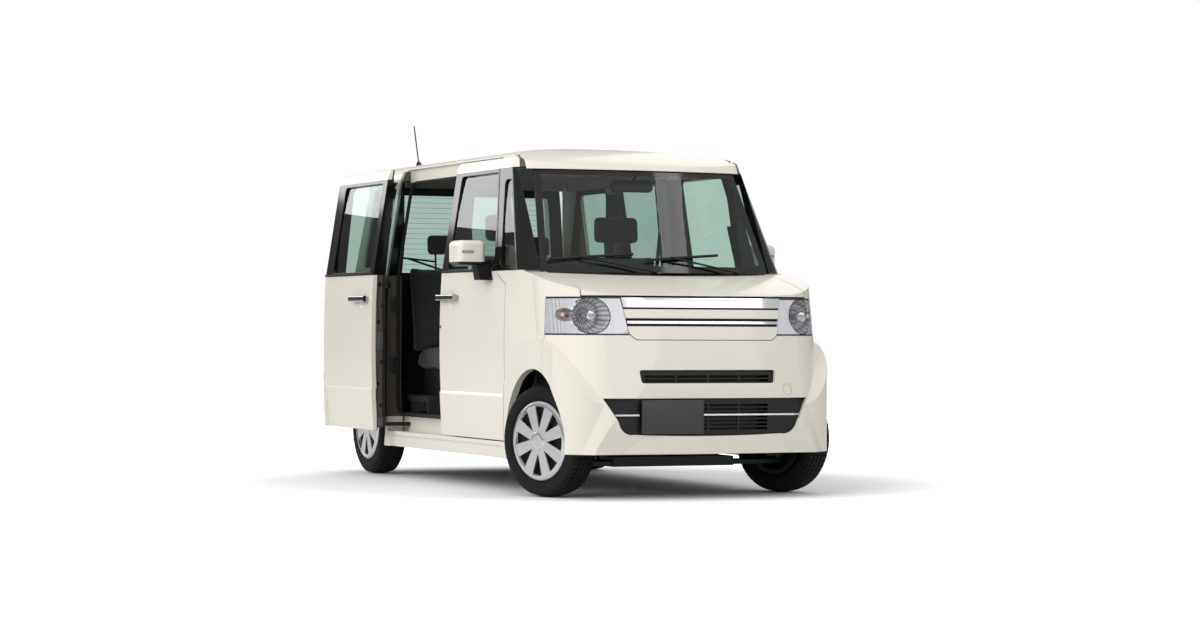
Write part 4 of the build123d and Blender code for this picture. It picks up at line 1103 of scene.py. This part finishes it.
doorwaySet = {
    "front": 1.362, "rear": 2.150, "low": 0.352, "high": 1.640,
    "inset": 0.058, "sealRadius": 0.010, "corner": 0.09,
    "scuff": ((-0.612, aft(1.76), 0.3475), (0.044, 0.74, 0.005)),
    "strikerX": -0.690, "strikerZ": (0.62, 0.96),
    "strikers": ((aft(2.1625), (0.05, 0.006, 0.09)), (aft(2.150), (0.012, 0.026, 0.05))),  # place along, size
    "plugs": (  # height, x, radius
        (0.40, -0.806, 0.012), (0.52, -0.826, 0.009), (0.64, -0.803, 0.014), (0.86, -0.825, 0.011),
        (0.95, -0.802, 0.010), (1.07, -0.818, 0.012)),
    "plugThick": 0.002, "plugSunk": 0.0003,
    "latches": ((0.76, 0.10), (0.31, 0.05)),  # height, size upwards
    "latchX": -0.815, "latchSize": (0.034, 0.008), "latchSunk": 0.002,
}


def makeDoorway():
    s = doorwaySet
    loop = []
    for side, heights in (("front", (s["low"],)), ("rear", (s["low"], bodyLines["leanFrom"], s["high"])),
                          ("front", (s["high"], bodyLines["leanFrom"]))):
        loop += [(-bodySide(height) + s["inset"], aft(s[side]), height) for height in heights]
    seal = tubeMesh("doorwaySeals", softCorners(loop, s["corner"]), s["sealRadius"], True)
    addPiece("doorwaySeals", seal, "rubber")
    addPiece("scuffPlate", boxesMesh("scuff", [s["scuff"]], 0.002), "cabinPlastic")
    parts = [((s["strikerX"], y, height), size) for height in s["strikerZ"] for y, size in s["strikers"]]
    addPiece("doorStrikers", boxesMesh("doorStrikers", parts, 0.002), "chassis")

    def edgeSpot(x, height, sunk):  # on the front edge of the open door
        return touch("sliding_door_right", (x, aft(1.6), height), behind) - Vector((0, sunk, 0))

    addJoined("doorEdgePlugs", [
        discMesh("plug", radius, s["plugThick"], edgeSpot(x, height, s["plugSunk"]), ahead)
        for height, x, radius in s["plugs"]], "rubber")
    latches = [(edgeSpot(s["latchX"], height, s["latchSunk"]), (*s["latchSize"], high))
               for height, high in s["latches"]]
    addPiece("doorLatches", boxesMesh("doorLatches", latches, 0.0015), "casting")
    print("doorway made")


# Roof mouldings

roofSet = {"x": 0.597, "start": 0.53, "end": 2.70, "points": 24, "radius": 0.0045, "lift": 0.001}


def makeRoof():
    s = roofSet
    line = []
    for index in range(s["points"]):
        y = aft(s["start"] + (s["end"] - s["start"]) * index / (s["points"] - 1))
        spots = [touch(node, (-s["x"], y, 2.5), (0, 0, -1)) for node in ("roof_panel", "side_frame_right")]
        heights = [spot.z for spot in spots if spot]
        if heights:
            line.append((-s["x"], y, max(heights) + s["lift"]))
    addBothSides("roofMouldings", [tubeMesh("strip", line, s["radius"])], "rubber")
    print("roof made")


# Tail: wiper, high lamp, grip, load sill, channels, blank plate, reflectors

tailSet = {
    "wiperX": -0.06, "wiperZ": 1.145, "tipX": -0.36, "tipZ": 1.235, "cap": (0.024, 0.022), "capSunk": 0.004,
    "armFrom": 0.014, "armBow": 0.006, "armEnd": 0.018, "armRadius": 0.006,
    "bladeX": (-0.52, -0.42, -0.3, -0.2), "bladeSlope": 0.10, "bladeOut": 0.007, "bladeRadius": 0.0055,
    "lampZ": 1.668, "lamp": (0.26, 0.024, 0.008, 0.008), "gripZ": 0.835, "grip": (0.50, 0.052, 0.014, 0.018),
    "sunk": 0.003, "plateZ": 0.70, "plateOut": 0.001,
    "bolt": (0.007, 0.004), "boltPlace": (0.105, 0.003, 0.064),
    "reflectorX": 0.56, "reflectorZ": 0.385, "reflector": (0.13, 0.030, 0.006, 0.012), "reflectorSunk": 0.002,
    "sill": ((0, aft(2.790), 0.487), (1.20, 0.034, 0.074)),
    "channelOut": 0.646, "channelThick": 0.034,
    "channels": (  # stations upwards: height, distance aft, inner edge
        ((0.472, 2.822, 0.606), (0.768, 2.822, 0.606)),
        ((1.152, 2.818, 0.605), (1.30, 2.798, 0.590), (1.40, 2.778, 0.581), (1.50, 2.753, 0.571),
         (1.60, 2.728, 0.562), (1.68, 2.728, 0.556))),
}


def channelMesh(stations):  # the rain channel beside the tailgate
    s = tailSet
    shape = bmesh.new()
    rings = []
    for height, back, inner in stations:
        corners = ((inner, back - s["channelThick"]), (s["channelOut"], back - s["channelThick"]),
                   (s["channelOut"], back), (inner, back))
        rings.append([shape.verts.new((x, aft(y), height)) for x, y in corners])
    shape.faces.new(rings[0])
    shape.faces.new(rings[-1])
    for low, high in zip(rings, rings[1:]):
        for i in range(4):
            shape.faces.new((low[i], low[i - 1], high[i - 1], high[i]))
    bmesh.ops.recalc_face_normals(shape, faces=shape.faces[:])
    return meshFrom(shape, "channel")


def tailSpot(x, z, node="tailgate", out=0.0):  # on the tail, and how far out of it
    return touch(node, (x, 4, z), ahead) + Vector((0, out, 0))


def makeRearWiper():
    s = tailSet
    foot = tailSpot(s["wiperX"], s["wiperZ"])
    start = foot + Vector((0, s["armFrom"], 0))
    tip = tailSpot(s["tipX"], s["tipZ"], "tailgate_glass", s["armEnd"])
    bow = start.lerp(tip, 0.5) + Vector((0, s["armBow"], 0))
    line = [(x, 4, s["tipZ"] - s["bladeSlope"] * (x - s["tipX"])) for x in s["bladeX"]]
    blade = [spot + Vector((0, s["bladeOut"], 0)) for spot in touches("tailgate_glass", line, ahead)]
    addJoined("rearWiper", [
        discMesh("cap", *s["cap"], foot - Vector((0, s["capSunk"], 0)), behind),
        tubeMesh("arm", (start, bow, tip), s["armRadius"]),
        tubeMesh("blade", blade, s["bladeRadius"])], "blackPlastic", "tailgate")


def makeTail():
    s = tailSet
    makeRearWiper()
    lie = facing(tailSpot(0, s["lampZ"], out=-s["sunk"]), (0, 1, 0.1))
    addPiece("highStopLamp", plateMesh("highStopLamp", *s["lamp"], lie), "tailLens", "tailgate", "tail_lens")
    lie = facing(tailSpot(0, s["gripZ"], out=-s["sunk"]), behind)
    addPiece("tailgateGrip", plateMesh("tailgateGrip", *s["grip"], lie, 0.004), "chrome", "tailgate", "chrome")
    addPiece("loadSill", boxesMesh("loadSill", [s["sill"]], 0.006), "cabinPlastic")
    addBothSides("gateChannels", [channelMesh(stations) for stations in s["channels"]], "paint")
    spot = tailSpot(0, s["plateZ"])
    lie = facing(spot + Vector((0, s["plateOut"], 0)), behind)
    addPiece("rearBlankPlate", plateMesh("rearBlankPlate", *noseSet["plate"], lie), "plate", "tailgate")
    x, y, z = s["boltPlace"]
    bolts = [discMesh("bolt", *s["bolt"], spot + Vector((side * x, y, z)), behind) for side in (-1, 1)]
    addJoined("rearPlateBolts", bolts, "bareSteel", "tailgate")
    reflectors = []
    for x in (-s["reflectorX"], s["reflectorX"]):
        spot = tailSpot(x, s["reflectorZ"], "rear_bumper", -s["reflectorSunk"])
        reflectors.append(plateMesh("reflector", *s["reflector"], facing(spot, (x * 0.25, 1, 0))))
    addJoined("rearReflectors", reflectors, "tailLens", "car_body", "tail_lens")
    print("tail made")


# Cabin: mirror, visors, dash fittings, lever, pedals, belts

cabinSet = {  # plates: width, height, thickness, corner
    "mirrorPlace": (0, aft(0.47), 1.565), "mirror": (0.225, 0.062, 0.022, 0.022),
    "mirrorNormal": (-0.15, -1, 0.1),
    "stemUp": 0.01, "stemEnd": (0, aft(0.40), 1.625), "stemRadius": 0.008,
    "visorX": 0.29, "visorY": 0.57, "visorZ": 1.652, "visor": (0.36, 0.145, 0.014, 0.03), "visorTilt": 0.35,
    "vents": ((-0.50, 1.02), (-0.085, 1.02), (0.085, 1.02), (0.50, 1.02)), "vent": (0.105, 0.062, 0.006, 0.014),
    "slats": (-0.021, -0.007, 0.007, 0.021), "slatOut": 0.008, "slatSize": (0.086, 0.004, 0.006),
    "dashTouch": aft(0.9), "screenZ": 0.94, "screen": (0.19, 0.105, 0.006, 0.008),
    "knobX": (-0.06, 0, 0.06), "knobZ": 0.852, "knobSunk": 0.02, "knob": (0.018, 0.018),
    "hoodX": -0.33, "hoodY": aft(0.47), "hoodUp": 0.022, "hoodSize": (0.30, 0.11, 0.056), "hoodEdge": 0.018,
    "dialX": (-0.085, 0, 0.085), "dialPlace": (0.0535, 0.024), "dial": (0.024, 0.004),
    "lever": ((-0.10, aft(0.50), 0.86), (-0.10, aft(0.60), 0.90)), "leverRadius": 0.008,
    "knobPlace": (-0.10, aft(0.595), 0.898), "knobWay": (0, 0.8, 0.35),
    "leverKnob": ((0, 0), (0, 0.016), (0.03, 0.021), (0.055, 0.018), (0.062, 0)),
    "pedals": ((-0.25, 0.09), (-0.38, 0.06)), "pad": (0.08, 0.012, 0.012), "padY": aft(0.47), "padZ": 0.47,
    "stalk": ((aft(0.468), 0.48), (aft(0.36), 0.72)), "stalkRadius": 0.007,
    "beltHeights": (0.45, 0.8, 1.12, 1.46), "beltY": aft(1.33), "beltInset": 0.152,
    "beltWide": 0.046, "beltThick": 0.0016, "beltCorner": 0.0005,
}


def makeDash():
    s = cabinSet
    vents = []
    for x, z in s["vents"]:
        lie = facing(touch("dashboard", (x, s["dashTouch"], z), ahead), (0, 1, 0.2))
        vents.append(plateMesh("rim", *s["vent"], lie, 0.002))
        for up in s["slats"]:
            slat = boxesMesh("slat", [((0, up, s["slatOut"]), s["slatSize"])], 0.001)
            slat.transform(lie)
            vents.append(slat)
    addJoined("airVents", vents, "blackPlastic")
    panel = touch("dashboard", (0, s["dashTouch"], s["screenZ"]), ahead)
    screen = plateMesh("centreScreen", *s["screen"], facing(panel, (0, 1, 0.15)), 0.002)
    addPiece("centreScreen", screen, "screenPanel")
    addJoined("heaterKnobs", [
        discMesh("knob", *s["knob"], (x, panel.y - s["knobSunk"], s["knobZ"]), (0, 1, 0.2))
        for x in s["knobX"]], "blackPlastic")
    top = touch("dashboard", (s["hoodX"], s["hoodY"], 1.6), (0, 0, -1))
    hood = boxesMesh("hood", [((s["hoodX"], top.y, top.z + s["hoodUp"]), s["hoodSize"])], s["hoodEdge"])
    addPiece("gaugeHood", hood, "cabinPlastic")
    out, up = s["dialPlace"]
    addJoined("gaugeDials", [
        discMesh("dial", *s["dial"], (s["hoodX"] + x, top.y + out, top.z + up), behind)
        for x in s["dialX"]], "screenPanel")


def makeCabin():
    s = cabinSet
    x, y, z = s["mirrorPlace"]
    back = plateMesh("back", *s["mirror"], facing(s["mirrorPlace"], s["mirrorNormal"]), 0.006)
    stem = tubeMesh("stem", ((x, y, z + s["stemUp"]), s["stemEnd"]), s["stemRadius"])
    addJoined("insideMirror", (back, stem), "blackPlastic")
    tilt = s["visorTilt"]
    addJoined("sunVisors", [
        plateMesh("visor", *s["visor"], facing(
            (x, aft(s["visorY"]), s["visorZ"]), (0, -tilt, -1), (0, -1, tilt)), 0.005)
        for x in (-s["visorX"], s["visorX"])], "lining")
    makeDash()
    lever = tubeMesh("lever", s["lever"], s["leverRadius"])
    knob = turnedMesh("leverKnob", s["leverKnob"], s["knobPlace"], s["knobWay"])
    addJoined("gearLever", (lever, knob), "cabinPlastic")
    pedals = []
    for x, wide in s["pedals"]:
        lie = facing((x, s["padY"], s["padZ"]), (0, 1, 0.4))
        pedals.append(plateMesh("pad", wide, *s["pad"], lie, 0.003))
        pedals.append(tubeMesh("stalk", [(x, y, z) for y, z in s["stalk"]], s["stalkRadius"]))
    addJoined("pedals", pedals, "blackPlastic")
    ends = [Vector((-(bodySide(z) - s["beltInset"]), s["beltY"], z)) for z in s["beltHeights"]]
    addBothSides("seatBelts", [strap(low, high) for low, high in zip(ends, ends[1:])], "webbing")
    print("cabin made")


def strap(start, end):  # a flat band that faces the middle of the car
    s = cabinSet
    way = end - start
    lie = facing((start + end) / 2, (1, 0, 0.1), way)
    return plateMesh("strap", s["beltWide"], way.length, s["beltThick"], s["beltCorner"], lie, 0)


# Seats: cushions, backs and head rests swollen by cloth, on plain bases

seatSet = {
    "voxel": 0.009, "pressure": 4.0, "frames": 20, "quality": 5, "cap": 0.018, "give": 0.75,
    "gap": 0.012, "edge": 0.022, "baseInset": 0.12, "baseLong": 0.36,
    "stemX": 0.07, "stemRadius": 0.006,
    "stem": ((0.018, -0.10), (0.03, 0.03)),  # its ends, measured from the head rest's foot
    "kinds": (  # name, node, inner and outer edge, foot's height, blocks: name, side view, half width (0 for all)
        ("frontSeat", "front_seats", 0.08, 0.56, 0.33, (
            ("cushion", ((0.775, 0.572), (1.255, 0.572), (1.205, 0.662), (0.785, 0.680)), 0.0),
            ("back", ((1.205, 0.650), (1.295, 0.650), (1.395, 1.235), (1.338, 1.235)), 0.0),
            ("head", ((1.350, 1.300), (1.420, 1.300), (1.428, 1.440), (1.362, 1.440)), 0.125))),
        ("rearSeat", "rear_seats", 0.008, 0.515, 0.45, (
            ("cushion", ((1.912, 0.612), (2.385, 0.612), (2.325, 0.694), (1.925, 0.712)), 0.0),
            ("back", ((2.325, 0.684), (2.420, 0.684), (2.506, 1.180), (2.456, 1.180)), 0.0),
            ("head", ((2.452, 1.250), (2.512, 1.250), (2.520, 1.362), (2.462, 1.362)), 0.115))),
    ),
}


def sideBlock(name, corners, x0, x1):  # a prism across the car, from its corners in side view
    shape = bmesh.new()
    near, far = [[shape.verts.new((x, aft(back), height)) for back, height in corners] for x in (x0, x1)]
    shape.faces.new(near)
    shape.faces.new(list(reversed(far)))
    for i in range(len(corners)):
        j = (i + 1) % len(corners)
        shape.faces.new((near[i], far[i], far[j], near[j]))
    bmesh.ops.recalc_face_normals(shape, faces=shape.faces[:])
    bmesh.ops.bevel(shape, geom=shape.edges[:], offset=seatSet["edge"], segments=3, affect="EDGES", profile=0.5)
    return meshFrom(shape, name)


def padMesh(name, mesh):  # swells a block as a stuffed cover and keeps the move within a cap
    s = seatSet
    pad = placed(name, mesh)
    remesh = pad.modifiers.new("voxels", "REMESH")
    remesh.mode = "VOXEL"
    remesh.voxel_size = s["voxel"]
    start = evaluated(pad)
    pad.modifiers.remove(remesh)
    pad.data = start
    cloth = pad.modifiers.new("swell", "CLOTH")
    cloth.settings.use_pressure = True
    cloth.settings.uniform_pressure_force = s["pressure"]
    cloth.settings.effector_weights.gravity = 0
    cloth.settings.quality = s["quality"]
    for number in range(1, s["frames"] + 1):
        bpy.context.scene.frame_set(number)
    swollen = evaluated(pad)
    for before, after in zip(start.vertices, swollen.vertices):
        move = after.co - before.co
        if move.length > s["cap"]:
            after.co = before.co + move.normalized() * s["cap"]
    pad.modifiers.remove(cloth)
    bpy.context.scene.frame_set(1)
    pad.data = swollen
    smooth = pad.modifiers.new("smooth", "SUBSURF")
    smooth.levels = smooth.render_levels = 1
    final = evaluated(pad)
    bpy.data.objects.remove(pad)
    final.polygons.foreach_set("use_smooth", [True] * len(final.polygons))
    return final


def makeSeats():
    s = seatSet
    for kind, node, inner, outer, footZ, blocks in s["kinds"]:
        middle = (inner + outer) / 2
        for part, corners, half in blocks:
            x0, x1 = (middle - half, middle + half) if half else (inner + s["gap"], outer - s["gap"])
            pad = padMesh(f"{kind}_{part}", sideBlock(part, corners, x0, x1))
            for hand, mesh in (("left", pad), ("right", flipped(pad))):
                piece = addPiece(f"{kind}_{part}_{hand}", mesh, "seatCloth", "car_body", "seat_fabric")
                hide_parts(node)
        (seatFront, seatZ), (seatBack, seatZ) = blocks[0][1][:2]
        place = (middle, aft((seatFront + seatBack) / 2), (footZ + seatZ) / 2)
        size = (outer - inner - s["baseInset"], s["baseLong"], seatZ - footZ)
        frames = [boxesMesh("base", [(place, size)], 0.012)]
        headY, headZ = blocks[2][1][0]
        for x in (middle - s["stemX"], middle + s["stemX"]):
            ends = [(x, aft(headY + back), headZ + up) for back, up in s["stem"]]
            frames.append(tubeMesh("stem", ends, s["stemRadius"]))
        addBothSides(f"{kind}_bases", frames, "cabinPlastic", "car_body", "cabin_plastic")
    print("seats made")


for make in (makeTyres, makeNose, makeDoors, makeDoorway, makeRoof, makeTail, makeCabin, makeSeats,
             makeCamera, makeWorld, makeFloor, makeLights):
    make()
print("studio set")

bpy.context.scene.view_settings.view_transform = "Standard"
